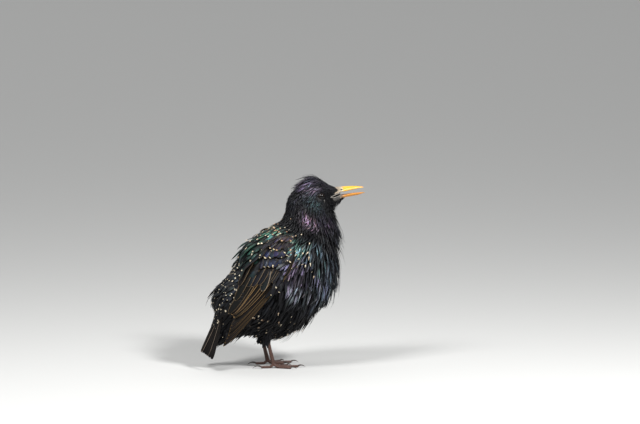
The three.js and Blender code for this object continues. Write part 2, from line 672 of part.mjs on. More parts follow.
const toeLine = (side, toe) => {
  const bearing = THREE.MathUtils.degToRad(toe.bearing);
  return vec(Math.cos(bearing), side * Math.sin(bearing), 0);
};

const TOE_REST = TOE_RADIUS - TOE_FLAT;

function toeForm(side, toe) {
  const foot = footPoint(side);
  const line = toeLine(side, toe);
  const points = [0, 0.18, 0.36, 0.6, 0.8, 1].map((share) => {
    const point = foot.clone().addScaledVector(line, toe.length * share);
    point.z = share === 0 ? foot.z : mix(TOE_REST, foot.z, Math.max(0, 0.3 - share));
    return point;
  });
  const swell = [1.05, 1.08, 0.92, 1.06, 0.88, 0.8];
  return limb(points, swell.map((size) => [TOE_RADIUS * size, TOE_RADIUS * size]), 6);
}

// A claw: a curved cone that leaves the toe's end, arches and points down just clear of the ground
function clawForm(side, toe) {
  const line = toeLine(side, toe);
  const root = footPoint(side).addScaledVector(line, toe.length + GAP);
  const points = [0, 0.3, 0.65, 1].map((share) => {
    const point = root.clone().addScaledVector(line, toe.claw * share);
    point.z = mix(TOE_REST, CLAW_TIP_Z, share * share) + toe.claw * CLAW_ARCH * share * (1 - share);
    return point;
  });
  const radii = [0.85, 0.7, 0.42, 0.1].map((radius) => [radius * 0.75, radius]);
  return limb(points, radii, 6);
}

function mesh(name, solid, finish) {
  const { vertProperties, triVerts } = solid.getMesh();
  const geometry = new THREE.BufferGeometry();
  geometry.setAttribute('position', new THREE.BufferAttribute(vertProperties, 3));
  geometry.setIndex(new THREE.BufferAttribute(triVerts, 1));
  const body = new THREE.Mesh(geometry, new THREE.MeshStandardMaterial(finish));
  body.name = name;
  return body;
}

// Short locks that hang round a shank, over its lower end
function shankLocks(side) {
  const heel = heelPoint(side);
  return Array.from({ length: SHANK_LOCKS }, (_, index) => {
    const angle = (index * 2 * Math.PI) / SHANK_LOCKS;
    const out = vec(Math.cos(angle), Math.sin(angle), 0);
    const across = vec(-out.y, out.x, 0);
    return blade(SHANK_LOCK_SHAPE.map(([above, away, half]) => ({
      at: heel.clone().addScaledVector(out, away).add(vec(above * SHANK_LOCK_SLOPE, 0, above)),
      across,
      out,
      half,
      thick: half < 1 ? LOCK_TIP_THICKNESS : LOCK_THICKNESS,
    })), true);
  });
}

// Which of the body's nodes a point belongs to: how many of the cuts it lies below
function bodyNodeAt(point) {
  return CUTS.filter(({ back, front }) => (
    (front[0] - back[0]) * (point.z - back[1]) < (front[1] - back[1]) * (point.x - back[0]))).length;
}

// The part of the body's form between its own two cuts, grown past them by a gap if asked
function bodyPart(index, gap) {
  let part = bodyForm(0, gap);
  if (index > 0) part = trimmed(part, CUTS[index - 1], false, gap);
  if (index < CUTS.length) part = trimmed(part, CUTS[index], true, gap);
  return part;
}

const SIDES = [['right', -1], ['left', 1]];
const mirrored = (solid, side) => (side > 0 ? solid.mirror([0, 1, 0]) : solid);

// The body's nodes with their locks: locks are cut clear of the wings and shanks, of the next node's
// form below them, and of the locks that hang over them from the node above
function bodyNodes() {
  const places = coatLocks(makeRandom(COAT_SEED));
  const owner = places.map((place) => bodyNodeAt(skin(place.station, place.around)));
  const ofNode = (index, grow) => (
    places.filter((_, at) => owner[at] === index).map((place) => lock(place, grow)));
  const neighbours = join(SIDES.flatMap(([, side]) => [
    mirrored(wingForm(WING_ROOM), side), shankForm(side, GAP), ...shankLocks(side),
  ]));
  return BODY_NODES.map((_, index) => {
    let coat = join(ofNode(index, 0)).subtract(neighbours);
    if (index < CUTS.length) coat = coat.subtract(bodyPart(index + 1, GAP));
    if (index > 0) coat = coat.subtract(join(ofNode(index - 1, GAP)));
    return bodyPart(index, 0).add(coat);
  });
}

// The head with its gape, sockets and lids
function finishedHead(form) {
  let head = form.subtract(gapeWedge());
  for (const [, side] of SIDES) {
    head = head.add(lidRing(side)).subtract(ball(eyeCentre(side), EYE.radius + GAP));
  }
  return head;
}

const group = new THREE.Group();
const add = (name, solid, finish) => group.add(mesh(name, largest(largest(solid).simplify(SLIVER)), finish));

const [headForm, neck, torso, tailBase] = bodyNodes();
add('head', finishedHead(headForm), FINISH.plumage);
add('neck', neck, FINISH.hackles);
add('torso', torso, FINISH.plumage);
add('tail', tailBase.add(join(tailFeathers())).subtract(bodyPart(2, GAP)), FINISH.flight);
add('upper_bill', billHalf(UPPER_BILL).subtract(nostril(-1)).subtract(nostril(1)), FINISH.bill);
add('lower_bill', billHalf(LOWER_BILL), FINISH.bill);

const clearOfBody = bodyForm(0, GAP);
const rightWing = join([wingForm(0), ...wingFeathers(makeRandom(WING_SEED))]).subtract(clearOfBody);
for (const [name, side] of SIDES) {
  add(`wing_${name}`, mirrored(rightWing, side), FINISH.flight);
  add(`eye_${name}`, ball(eyeCentre(side), EYE.radius), FINISH.eye);
  add(`shank_${name}`, join([shankForm(side, 0), ...shankLocks(side)]).subtract(clearOfBody), FINISH.plumage);
  add(`leg_${name}`, legForm(side), FINISH.leg);
  for (const toe of TOES) add(`claw_${toe.name}_${name}`, clawForm(side, toe), FINISH.claw);
}

// The origin is on the ground, below the middle of the whole bird
const box = new THREE.Box3().setFromObject(group);
group.position.set(-(box.min.x + box.max.x) / 2, -(box.min.y + box.max.y) / 2, -box.min.z);

export default group;
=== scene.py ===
import math

import bmesh
import bpy
import numpy as np
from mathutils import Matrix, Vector


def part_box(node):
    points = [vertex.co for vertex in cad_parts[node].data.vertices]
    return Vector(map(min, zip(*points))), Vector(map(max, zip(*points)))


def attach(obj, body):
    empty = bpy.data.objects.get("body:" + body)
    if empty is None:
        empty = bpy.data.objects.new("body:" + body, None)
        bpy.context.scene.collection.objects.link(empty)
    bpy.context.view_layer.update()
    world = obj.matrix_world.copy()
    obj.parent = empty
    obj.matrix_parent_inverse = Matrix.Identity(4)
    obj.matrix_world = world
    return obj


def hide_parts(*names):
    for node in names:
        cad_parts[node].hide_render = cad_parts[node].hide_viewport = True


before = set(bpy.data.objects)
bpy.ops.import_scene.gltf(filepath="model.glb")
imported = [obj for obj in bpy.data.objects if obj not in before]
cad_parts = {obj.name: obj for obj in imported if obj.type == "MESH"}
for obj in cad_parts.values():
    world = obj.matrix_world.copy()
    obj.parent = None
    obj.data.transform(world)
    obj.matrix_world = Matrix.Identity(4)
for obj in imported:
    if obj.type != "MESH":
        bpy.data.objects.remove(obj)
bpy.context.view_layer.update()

collection = bpy.context.scene.collection

# ---- Body skin ----
# The skin of the bird from the bill's root to the tail: thin dark skin over flesh, drawn as one
# smooth tube round sections that lean from the back to the breast. Every feather is rooted in it.

# Each section in millimetres: back x, z, front x, z, half width, where between them it is widest
SECTIONS = np.array([
    [62.6, 158.6, 63.8, 148.1, 4.6, 0.55],
    [54.9, 159.6, 59.0, 144.3, 8.6, 0.55],
    [46.9, 163.2, 55.1, 140.2, 11.4, 0.52],
    [36.8, 165.0, 56.0, 134.2, 13.4, 0.5],
    [24.9, 157.3, 57.8, 127.8, 15.2, 0.5],
    [17.4, 148.0, 59.1, 119.7, 17.4, 0.52],
    [15.2, 137.4, 58.2, 110.7, 20.0, 0.54],
    [11.1, 129.0, 57.2, 101.8, 24.0, 0.54],
    [2.8, 124.2, 57.2, 90.3, 28.6, 0.52],
    [-8.8, 116.0, 55.2, 75.5, 31.6, 0.5],
    [-20.8, 105.8, 49.6, 60.6, 32.8, 0.5],
    [-28.6, 91.1, 39.4, 50.7, 31.8, 0.5],
    [-37.0, 81.4, 25.9, 38.5, 29.0, 0.5],
    [-46.0, 70.6, 10.4, 29.8, 24.4, 0.48],
    [-50.4, 59.9, -7.9, 30.9, 18.6, 0.45],
    [-48.9, 50.4, -23.5, 31.2, 13.4, 0.42],
    [-51.6, 40.4, -39.0, 25.0, 11.2, 0.4],
    [-54.6, 30.4, -49.8, 21.6, 10.6, 0.4],
])
LAST = len(SECTIONS) - 1
# The head turns to the right round an upright line, softly between two heights
HEAD_TURN = math.radians(-8)
TURN_X, TURN_LOW_Z, TURN_HIGH_Z = 28, 112, 140
EYE_X, EYE_Z = 45.0, 152.1
SKIN_INSET, SKIN_END, STATION_STEP = 0.5, 0.03, 0.02
SKIN_STATIONS, SKIN_SIDES = 120, 72
GAPE_CORNER, BILL_ROOT_X, BILL_ROOT_Z = (53.4, 150.2), 62.9, (151.6, 154.6)
GAPE_AHEAD, GAPE_BREADTH, GAPE_EDGE = 1.6, 13, 0.05


def section_at(station):
    """The section at any station down the body, on smooth curves through the measured ones."""
    station = np.clip(station, 0, LAST)
    first = np.minimum(station.astype(int), LAST - 1)
    t = (station - first)[..., None]
    before, here, then, after = (SECTIONS[np.clip(first + step, 0, LAST)] for step in (-1, 0, 1, 2))
    leave, arrive = (then - before) / 2, (after - here) / 2
    cubic = (2 * here - 2 * then + leave + arrive) * t ** 3
    return cubic + (3 * then - 3 * here - 2 * leave - arrive) * t ** 2 + leave * t + here


def head_turn(points):
    """The straight bird's points, with the head turned a little to the right."""
    share = np.clip((points[..., 2] - TURN_LOW_Z) / (TURN_HIGH_Z - TURN_LOW_Z), 0, 1)
    turn = HEAD_TURN * share * share * (3 - 2 * share)
    x, y = points[..., 0] - TURN_X, points[..., 1]
    turned_x = x * np.cos(turn) - y * np.sin(turn) + TURN_X
    return np.stack([turned_x, x * np.sin(turn) + y * np.cos(turn), points[..., 2]], axis=-1)


def straight_skin(station, around):
    """Points of the skin before the head is turned. Around is the angle in degrees from the
    breast (0) over the left side (90) to the back (180)."""
    station, around = np.broadcast_arrays(np.asarray(station, float), np.asarray(around, float))
    section = section_at(station)
    angle = np.radians(around)
    back, front = section[..., 0:2], section[..., 2:4]
    middle = back + (front - back) * section[..., 5:6]
    end = np.where(np.cos(angle)[..., None] > 0, front, back)
    middle = middle + (end - middle) * np.abs(np.cos(angle))[..., None]
    return np.stack([middle[..., 0], section[..., 4] * np.sin(angle), middle[..., 1]], axis=-1)


def skin_point(station, around):
    return head_turn(straight_skin(station, around))


def unit(vectors):
    return vectors / np.maximum(np.linalg.norm(vectors, axis=-1, keepdims=True), 1e-9)


def skin_frame(station, around):
    """Point, way down the body and way around it per station and degree, and the way out."""
    station, around = np.broadcast_arrays(np.asarray(station, float), np.asarray(around, float))
    inside = np.clip(station, SKIN_END, LAST - SKIN_END)
    point = skin_point(inside, around)
    after, before = (skin_point(inside + step, around) for step in (STATION_STEP, -STATION_STEP))
    down = (after - before) / (2 * STATION_STEP)
    across = (skin_point(inside, around + 1) - skin_point(inside, around - 1)) / 2
    out = unit(np.cross(down, across))
    centre = (skin_point(inside, 0 * inside) + skin_point(inside, 0 * inside + 180)) / 2
    out = out * np.sign(np.sum(out * (point - centre), axis=-1, keepdims=True))
    point = point + down * (station - inside)[..., None]
    return point, down, across, out


# The solids' origin lies below the middle of the whole bird; the eyes show where that is here.
eye_boxes = [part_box(f"eye_{side}") for side in ("right", "left")]
eyes_middle = np.mean([np.array(corner) for box in eye_boxes for corner in box], axis=0) * 1000
ORIGIN = eyes_middle - head_turn(np.array([EYE_X, 0.0, EYE_Z]))


def metres(points):
    """From the bird's own millimetres to the frame's metres."""
    return (np.asarray(points, float) + ORIGIN) / 1000


def place_piece(name, mesh, material):
    """A finished piece from its mesh, riding on the one body."""
    mesh.materials.append(material)
    piece = bpy.data.objects.new(name, mesh)
    collection.objects.link(piece)
    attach(piece, "root")
    return piece


def new_piece(name, bm, material):
    """A finished piece from a closed bmesh, with its faces outwards and smooth."""
    bmesh.ops.recalc_face_normals(bm, faces=bm.faces)
    mesh = bpy.data.meshes.new(name)
    bm.to_mesh(mesh)
    bm.free()
    mesh.polygons.foreach_set("use_smooth", [True] * len(mesh.polygons))
    return place_piece(name, mesh, material)


def grow_rings(bm, rings):
    """Extrudes a circle from ring to ring of points, and closes both ends."""
    made = bmesh.ops.create_circle(bm, cap_ends=True, segments=len(rings[0]), radius=0.001)
    ring = made["verts"]
    for vert, point in zip(ring, rings[0]):
        vert.co = point
    edges = list({edge for vert in ring for edge in vert.link_edges})
    for points in rings[1:]:
        made = bmesh.ops.extrude_edge_only(bm, edges=edges)["geom"]
        edges = [part for part in made if isinstance(part, bmesh.types.BMEdge)]
        grown = [part for part in made if isinstance(part, bmesh.types.BMVert)]
        place = {vert: index for index, vert in enumerate(ring)}
        ring = [None] * len(points)
        for vert in grown:
            beside = (edge.other_vert(vert) for edge in vert.link_edges)
            source = next(place[other] for other in beside if other in place)
            ring[source] = vert
            vert.co = points[source]
    bmesh.ops.contextual_create(bm, geom=ring)


def new_material(name):
    """A new material, with its node tree and its Principled shader."""
    material = bpy.data.materials.new(name)
    material.use_nodes = True
    tree = material.node_tree
    shader = next(node for node in tree.nodes if node.type == "BSDF_PRINCIPLED")
    return material, tree, shader


def set_inputs(tree, node, inputs):
    """Puts values or links on the inputs of a node that are named."""
    for key, value in inputs.items():
        if isinstance(value, bpy.types.NodeSocket):
            tree.links.new(value, node.inputs[key])
        else:
            node.inputs[key].default_value = value


def add_node(tree, kind, inputs=None, **settings):
    """A node with its settings, and with values or links on its inputs."""
    node = tree.nodes.new(kind)
    for key, value in settings.items():
        setattr(node, key, value)
    set_inputs(tree, node, inputs or {})
    return node


def object_place(tree):
    return add_node(tree, "ShaderNodeTexCoord").outputs["Object"]


def noise(tree, scale, detail, place=None):
    """Noise with so many waves to the metre, or to the length of a map that is given."""
    place = object_place(tree) if place is None else place
    inputs = {"Vector": place, "Scale": scale, "Detail": detail}
    return add_node(tree, "ShaderNodeTexNoise", inputs).outputs[0]


def bump(tree, height, strength, metres_deep, **settings):
    inputs = {"Height": height, "Strength": strength, "Distance": metres_deep}
    return add_node(tree, "ShaderNodeBump", inputs, **settings).outputs[0]


# The skin shows only between feathers: nearly black, dull and finely wrinkled.
skin_material, skin_tree, skin_shader = new_material("skin under plumage")
skin_wrinkles = noise(skin_tree, 14000.0, 3.0)
set_inputs(skin_tree, skin_shader, {"Base Color": (0.007, 0.007, 0.008, 1), "Roughness": 0.75,
                                    "Normal": bump(skin_tree, skin_wrinkles, 0.6, 0.0003)})

skin_bm = bmesh.new()
stations = np.linspace(STATION_STEP, LAST - STATION_STEP, SKIN_STATIONS)[:, None]
degrees = np.linspace(0, 360, SKIN_SIDES, endpoint=False)[None]
points, _, _, outwards = skin_frame(stations, degrees)
grow_rings(skin_bm, metres(points - outwards * SKIN_INSET))
skin = new_piece("body_skin", skin_bm, skin_material)


def cut_gape(piece):
    """The open mouth: a wedge between the bill's halves, down to the corner of the gape."""
    corner_x, corner_z = GAPE_CORNER
    front_x = corner_x + (BILL_ROOT_X - corner_x) * GAPE_AHEAD
    low, high = (corner_z + (z - corner_z) * GAPE_AHEAD for z in BILL_ROOT_Z)
    cutter = bmesh.new()
    bmesh.ops.create_cube(cutter, size=1)
    for vert in cutter.verts:
        if vert.co.x > 0:
            x, z = front_x, high if vert.co.z > 0 else low
        else:
            x, z = corner_x, corner_z + math.copysign(GAPE_EDGE, vert.co.z)
        point = np.array([x, math.copysign(GAPE_BREADTH, vert.co.y), z])
        vert.co = metres(head_turn(point))
    mesh = bpy.data.meshes.new("gape cutter")
    cutter.to_mesh(mesh)
    cutter.free()
    tool = bpy.data.objects.new("gape cutter", mesh)
    collection.objects.link(tool)
    modifier = piece.modifiers.new("gape", "BOOLEAN")
    modifier.operation, modifier.object, modifier.solver = "DIFFERENCE", tool, "EXACT"
    bpy.context.view_layer.update()
    finished = piece.evaluated_get(bpy.context.evaluated_depsgraph_get())
    cut = bpy.data.meshes.new_from_object(finished)
    piece.modifiers.clear()
    piece.data = cut
    bpy.data.objects.remove(tool)


cut_gape(skin)
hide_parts("head", "neck", "torso")

# ---- Wing arms ----
# The folded arm of each wing: muscle and bone under dark skin, held along the body's side from the
# wrist to the wing's tip. All the wing's feathers lap over it, and none of it shows.

# A place on the wing is given in millimetres along that line and above it
WRIST, WING_TIP = np.array([26.0, 104.0]), np.array([-43.0, 17.0])
WING_LENGTH = np.linalg.norm(WING_TIP - WRIST)
WING_LINE = (WING_TIP - WRIST) / WING_LENGTH
WING_RISE = np.array([WING_LINE[1], -WING_LINE[0]])
WING_TIP_Y, WING_SPREAD, SPREAD_LENGTH, WING_BLEND = 13.5, 0.27, 60.0, 4.0
# Above one line the wing curves over the back, and before another round the shoulder
CAMBER_ABOVE, CAMBER_RADIUS, CAMBER_BEFORE, SHOULDER_RADIUS = 12.0, 22.0, 10.0, 22.0
STEEPEST_CAMBER, FIRST_WING_STATION, HALVINGS = 0.04, 5.0, 18
# The arm's sections: along, lowest and highest edge, and height over the wing's face
WING_ARM = [[2, 13, 21, 0.6], [14, 9, 26, 1.4], [32, 4.5, 28.5, 1.4], [52, 4, 25.5, 1.0],
            [72, 4, 19.5, 0.7], [90, 5, 13, 0.6]]
ARM_DEPTH, ARM_POINTS = 2.0, 9


def body_breadth(x, z):
    """Half the body's breadth at a place in the side view, and 0 outside its outline."""
    place = np.stack([x, z], axis=-1)
    low, high = np.full(x.shape, FIRST_WING_STATION), np.full(x.shape, float(LAST))
    for _ in range(HALVINGS):
        middle = (low + high) / 2
        section = section_at(middle)
        line, reach = section[..., 2:4] - section[..., 0:2], place - section[..., 0:2]
        beyond = line[..., 0] * reach[..., 1] - line[..., 1] * reach[..., 0] < 0
        low, high = np.where(beyond, middle, low), np.where(beyond, high, middle)
    section = section_at(low)
    line, reach = section[..., 2:4] - section[..., 0:2], place - section[..., 0:2]
    share, widest = np.sum(line * reach, axis=-1) / np.sum(line * line, axis=-1), section[..., 5]
    away = np.where(share > widest, (share - widest) / (1 - widest), (widest - share) / widest)
    return section[..., 4] * np.sqrt(np.clip(1 - away * away, 0, None))


def wing_place(along, above):
    """Points of the right wing's face, which lies over the body and stands free at the tip."""
    x = WRIST[0] + WING_LINE[0] * along + WING_RISE[0] * above
    z = WRIST[1] + WING_LINE[1] * along + WING_RISE[1] * above
    body = body_breadth(x, z)
    over = np.maximum(above - CAMBER_ABOVE, 0) / CAMBER_RADIUS
    ahead = np.maximum(CAMBER_BEFORE - along, 0) / SHOULDER_RADIUS
    free = WING_TIP_Y + WING_SPREAD * np.minimum(WING_LENGTH - along, SPREAD_LENGTH)
    free = free * np.sqrt(np.maximum(1 - over * over - ahead * ahead, STEEPEST_CAMBER))
    return np.stack([x, -0.5 * (body + free + np.hypot(body - free, WING_BLEND)), z], axis=-1)


def wing_frame(along, above):
    """Point of the right wing's face, the way above it and the way out."""
    along, above = np.broadcast_arrays(np.asarray(along, float), np.asarray(above, float))
    lengthwise = unit(wing_place(along + 1, above) - wing_place(along - 1, above))
    crosswise = unit(wing_place(along, above + 1) - wing_place(along, above - 1))
    out = unit(np.cross(lengthwise, crosswise))
    out = np.where(out[..., 1:2] > 0, -out, out)
    return wing_place(along, above), crosswise, out


def wing_arm(word, side):
    """The arm of one wing, side -1 for the bird's right and 1 for its left."""
    share = np.linspace(0, 1, ARM_POINTS)
    rounded = np.sin(np.pi * np.clip(share, 0.06, 0.94)) ** 0.5
    rings = []
    for along, low, high, height in WING_ARM:
        above = low + (high - low) * np.concatenate([share, share[::-1]])
        point, _, out = wing_frame(float(along), above)
        over = np.concatenate([height * rounded, height - ARM_DEPTH * rounded[::-1]])
        rings.append(metres((point + out * over[:, None]) * np.array([1, -side, 1])))
    arm_bm = bmesh.new()
    grow_rings(arm_bm, rings)
    arm = new_piece(f"wing_arm_{word}", arm_bm, skin_material)
    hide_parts(f"wing_{word}")


wing_arm("right", -1)
wing_arm("left", 1)

# ---- Body feathers ----
# Several thousand feathers in rows round the body, each rooted in the skin and lying over the next
# towards the tail: tiny on the face, long and loose on throat and breast, broad on the back.

# The glosses of the plumage, by place on the skin: station, degrees from the breast, how far they
# reach both ways, their colour in the light and how strong they are. Elsewhere it is soot black.
GLOSSES = [
    ("slate forehead", 1.5, 150, 0.9, 30, (0.12, 0.12, 0.14), 0.5),
    ("crown violet", 3.2, 152, 0.8, 26, (0.20, 0.17, 0.27), 0.45),
    ("lavender crown side", 3.6, 144, 0.35, 14, (0.56, 0.49, 0.64), 0.9),
    ("lavender brow", 3.2, 122, 0.5, 7, (0.62, 0.50, 0.70), 0.8),
    ("teal cheek", 3.95, 102, 0.55, 22, (0.15, 0.24, 0.26), 0.8),
    ("nape", 4.9, 150, 0.9, 30, (0.10, 0.10, 0.13), 0.3),
    ("magenta neck side", 5.75, 104, 0.5, 15, (0.76, 0.57, 0.74), 1.0),
    ("violet throat", 4.9, 62, 0.7, 22, (0.22, 0.17, 0.28), 0.4),
    ("grey throat", 6.2, 35, 1.2, 34, (0.16, 0.17, 0.20), 0.4),
    ("turquoise shoulder", 8.7, 108, 0.4, 8.5, (0.38, 0.74, 0.66), 0.85),
    ("green mantle", 8.45, 147, 0.42, 20, (0.34, 0.76, 0.60), 1.0),
    ("green mantle above", 8.9, 162, 0.36, 12, (0.14, 0.47, 0.36), 0.5),
    ("green-black mantle", 9.6, 150, 1.2, 34, (0.05, 0.18, 0.12), 0.45),
    ("teal breast side", 8.3, 80, 0.7, 18, (0.26, 0.38, 0.42), 0.75),
    ("teal breast", 8.7, 45, 0.9, 24, (0.24, 0.31, 0.38), 0.6),
    ("violet side", 9.8, 97, 0.6, 13, (0.60, 0.48, 0.76), 1.0),
    ("lavender flank", 10.45, 86, 0.5, 14, (0.84, 0.76, 1.0), 1.0),
    ("silver flank", 10.75, 68, 0.42, 14, (0.80, 0.88, 1.0), 1.0),
    ("steel-blue breast", 9.8, 48, 0.8, 22, (0.48, 0.56, 0.70), 0.85),
    ("blue-black back", 11.8, 140, 2.0, 40, (0.05, 0.07, 0.09), 0.4),
]
# How the feathers lie, by place: station, degrees, then width, length, how far the tip stands off
# the skin, how pointed they are, the share with a pale tip, and how rusty that tip is.
PLACES = [
    ("forehead", 0.9, 150, 1.2, 3.0, 0.35, 0.5, 0.0, 0.0),
    ("lores", 1.0, 85, 0.9, 2.0, 0.25, 0.4, 0.0, 0.0),
    ("chin", 1.2, 15, 1.1, 7, 2.2, 0.9, 0.0, 0.0),
    ("brow", 2.1, 120, 1.2, 3.6, 0.5, 0.6, 0.0, 0.0),
    ("round the eye", 2.5, 90, 0.9, 2.0, 0.3, 0.4, 0.0, 0.0),
    ("crown", 2.7, 165, 1.3, 11, 4.6, 1.0, 0.0, 0.0),
    ("cheek", 3.7, 96, 1.1, 3.8, 0.45, 0.45, 0.0, 0.0),
    ("hind crown", 3.7, 165, 1.4, 8, 1.2, 1.0, 0.0, 0.0),
    ("behind the eye", 3.4, 128, 1.5, 8, 1.8, 1.0, 0.0, 0.0),
    ("nape side", 4.6, 135, 1.6, 6, 1.0, 0.8, 0.0, 0.0),
    ("upper throat", 3.8, 20, 1.5, 12, 4.6, 1.0, 0.0, 0.0),
    ("nape", 5.2, 165, 1.8, 6, 0.9, 0.5, 0.08, 0.6),
    ("neck side", 5.2, 108, 1.5, 9, 2.0, 1.0, 0.0, 0.0),
    ("throat", 6.0, 30, 1.9, 18, 4.8, 1.0, 0.0, 0.0),
    ("hind neck", 6.5, 150, 2.2, 7, 1.0, 0.3, 0.2, 0.5),
    ("neck base", 7.0, 90, 2.4, 14, 2.4, 0.9, 0.04, 0.4),
    ("upper mantle", 7.7, 150, 2.8, 7.5, 1.0, 0.15, 0.75, 0.6),
    ("shoulder", 8.1, 112, 2.6, 9, 1.6, 0.3, 0.75, 0.15),
    ("upper breast", 8.2, 30, 2.4, 19, 4.4, 1.0, 0.0, 0.0),
    ("breast side", 9.2, 80, 2.8, 18, 3.0, 1.0, 0.0, 0.0),
    ("mantle", 9.3, 148, 4.6, 12, 1.2, 0.15, 0.5, 0.05),
    ("scapulars", 10.6, 142, 6.2, 15, 1.6, 0.1, 0.5, 0.0),
    ("breast", 10.4, 35, 2.7, 19, 4.8, 1.0, 0.0, 0.0),
    ("flank", 11.2, 80, 3.0, 18, 3.0, 1.0, 0.03, 0.0),
    ("mantle end", 9.6, 176, 3.2, 15, 6.5, 0.9, 0.15, 0.1),
    ("back", 10.9, 172, 3.4, 9, 0.3, 0.2, 0.6, 0.0),
    ("belly", 12.8, 30, 2.8, 16, 4.6, 1.0, 0.32, 0.35),
    ("hip", 13.2, 95, 3.2, 14, 1.6, 0.6, 0.24, 0.35),
    ("rump", 12.2, 158, 3.4, 9, 2.0, 0.25, 0.6, 0.0),
    ("vent", 14.8, 30, 3.0, 11, 2.6, 0.9, 0.1, 0.1),
    ("rump end", 13.1, 165, 2.8, 12, 4.6, 0.9, 0.4, 0.0),
    ("tail base", 14.6, 165, 3.2, 8, 0.5, 0.4, 0.35, 0.0),
    ("upper tail coverts", 15.8, 145, 4.2, 9, 0.5, 0.3, 0.4, 0.15),
    ("under tail coverts", 16.0, 35, 3.6, 11, 1.2, 0.5, 0.2, 0.15),
]
PLACE_REACH = (0.9, 24)


def nearness(station, around, places, reach):
    """How near each place of a table is, from 1 at its middle down to 0."""
    around = np.abs((np.asarray(around) + 180) % 360 - 180)
    far = [((station - row[1]) / stations) ** 2 + ((around - row[2]) / degrees) ** 2
           for row, (stations, degrees) in zip(places, reach)]
    return np.exp(-np.stack(far, axis=-1))


def lie_of(station, around):
    """The numbers of how feathers lie at places on the skin, blended from the nearest rows."""
    near = nearness(station, around, PLACES, [PLACE_REACH] * len(PLACES)) + 1e-9
    values = np.array([row[3:] for row in PLACES])
    return (near @ values) / np.sum(near, axis=-1, keepdims=True)


def gloss_of(station, around):
    """Red, green, blue and strength of the gloss at places on the skin."""
    near = nearness(station, around, GLOSSES, [row[3:5] for row in GLOSSES])
    near = near * np.array([row[6] for row in GLOSSES])
    total = np.sum(near, axis=-1, keepdims=True)
    colour = (near @ np.array([row[5] for row in GLOSSES])) / np.maximum(total, 1e-6)
    strength = 1 - np.prod(1 - near, axis=-1, keepdims=True)
    return np.concatenate([colour, strength], axis=-1)


# A feather is a thin closed lens: rings of points along it, each from its left edge over its shaft
# to its right edge and back below. Pairs are the place across it and the height over its plane.
HACKLE = [(-1, 0), (0, 1), (1, 0), (0, -0.5)]
CONTOUR = [(-1, 0), (-0.55, 0.75), (0, 1), (0.55, 0.75), (1, 0), (0, 0.2)]
# How wide a loose and a broad feather are along their length, as shares of their width
SHAPE_AT = np.array([0, 0.22, 0.45, 0.7, 0.88, 1.0])
HACKLE_SHAPE = np.array([0.3, 0.85, 1.0, 0.78, 0.42, 0.05])
CONTOUR_SHAPE = np.array([0.4, 0.8, 1.0, 0.98, 0.72, 0.22])
TUFT_PATCH = 0.003


def lens_faces(rings, corners):
    """The quads of one feather: its sides from ring to ring, and both its ends."""
    ring, corner = np.meshgrid(np.arange(rings - 1), np.arange(corners), indexing="ij")
    after = (corner + 1) % corners
    quads = [ring * corners + corner, ring * corners + after,
             (ring + 1) * corners + after, (ring + 1) * corners + corner]
    quads = np.stack(quads, axis=-1).reshape(-1, 4)
    caps = [[0, index + 2, index + 1, index] for index in range(1, corners - 2, 2)]
    far_caps = [[(rings - 1) * corners + index for index in cap[::-1]] for cap in caps]
    return np.concatenate([quads, caps, far_caps])


def joined_feathers(name, centre, across, out, half, rise, profile, colours, bake, material,
                    shaft=0.0):
    """One mesh from many feathers: arrays of (feather, ring, xyz) for the middles and directions,
    (feather, ring) for half widths and rises, and (feather, ring or 1, rgba) for the colours."""
    count, rings = half.shape
    corners = len(profile)
    sideways, height = np.array(profile).T
    points = centre[:, :, None] + across[:, :, None] * (half[..., None] * sideways)[..., None]
    points = metres(points + out[:, :, None] * (rise[..., None] * height)[..., None])
    quads = lens_faces(rings, corners)
    first = points[0].reshape(-1, 3) - points[0].mean(axis=(0, 1))
    a, b, c = first[quads[:, 0]], first[quads[:, 1]], first[quads[:, 2]]
    if np.sum(a * np.cross(b, c)) < 0:
        quads = quads[:, ::-1]
    starts = np.arange(count) * rings * corners
    faces = (quads[None] + starts[:, None, None]).reshape(-1, 4)
    mesh = bpy.data.meshes.new(name)
    mesh.vertices.add(count * rings * corners)
    mesh.vertices.foreach_set("co", points.reshape(-1))
    mesh.loops.add(faces.size)
    mesh.loops.foreach_set("vertex_index", faces.reshape(-1))
    mesh.polygons.add(len(faces))
    mesh.polygons.foreach_set("loop_start", np.arange(0, faces.size, 4))
    mesh.polygons.foreach_set("use_smooth", np.ones(len(faces), bool))
    mesh.update(calc_edges=True)
    along = np.broadcast_to(np.linspace(0, 1, rings)[None, :, None], (count, rings, corners))
    from_shaft = (sideways - shaft) / np.where(sideways < shaft, 1 + shaft, 1 - shaft)
    aside = np.broadcast_to(from_shaft[None, None] / 2 + 0.5, along.shape)
    vane = np.stack([aside, along], axis=-1).reshape(-1, 2)
    loops = faces.reshape(-1)
    vane = np.stack([aside, along], axis=-1).reshape(-1, 2)
    mesh.uv_layers.new(name="Vane").data.foreach_set("uv", vane[loops].reshape(-1))
    if bake is not None:
        patch = np.stack([aside - 0.5, along - 0.5], axis=-1) * TUFT_PATCH
        patch = (bake[:, None, None] + patch).reshape(-1, 2)
        mesh.uv_layers.new(name="OFBake").data.foreach_set("uv", patch[loops].reshape(-1))
    for key, values in colours.items():
        layer = mesh.attributes.new(key, "FLOAT_COLOR", "POINT")
        full = np.broadcast_to(values[:, :, None], (count, rings, corners, 4))
        layer.data.foreach_set("color", full.reshape(-1))
    return place_piece(name, mesh, material)


def math_node(tree, operation, *values):
    inputs = dict(enumerate(values))
    return add_node(tree, "ShaderNodeMath", inputs, operation=operation).outputs[0]


def product(tree, first, *others):
    for other in others:
        first = math_node(tree, "MULTIPLY", first, other)
    return first


def mix_colour(tree, share, low, high):
    """low where share is 0, high where it is 1. A share is a mask or a number."""
    node = add_node(tree, "ShaderNodeMix", {0: share, 6: low, 7: high}, data_type="RGBA")
    return node.outputs[2]


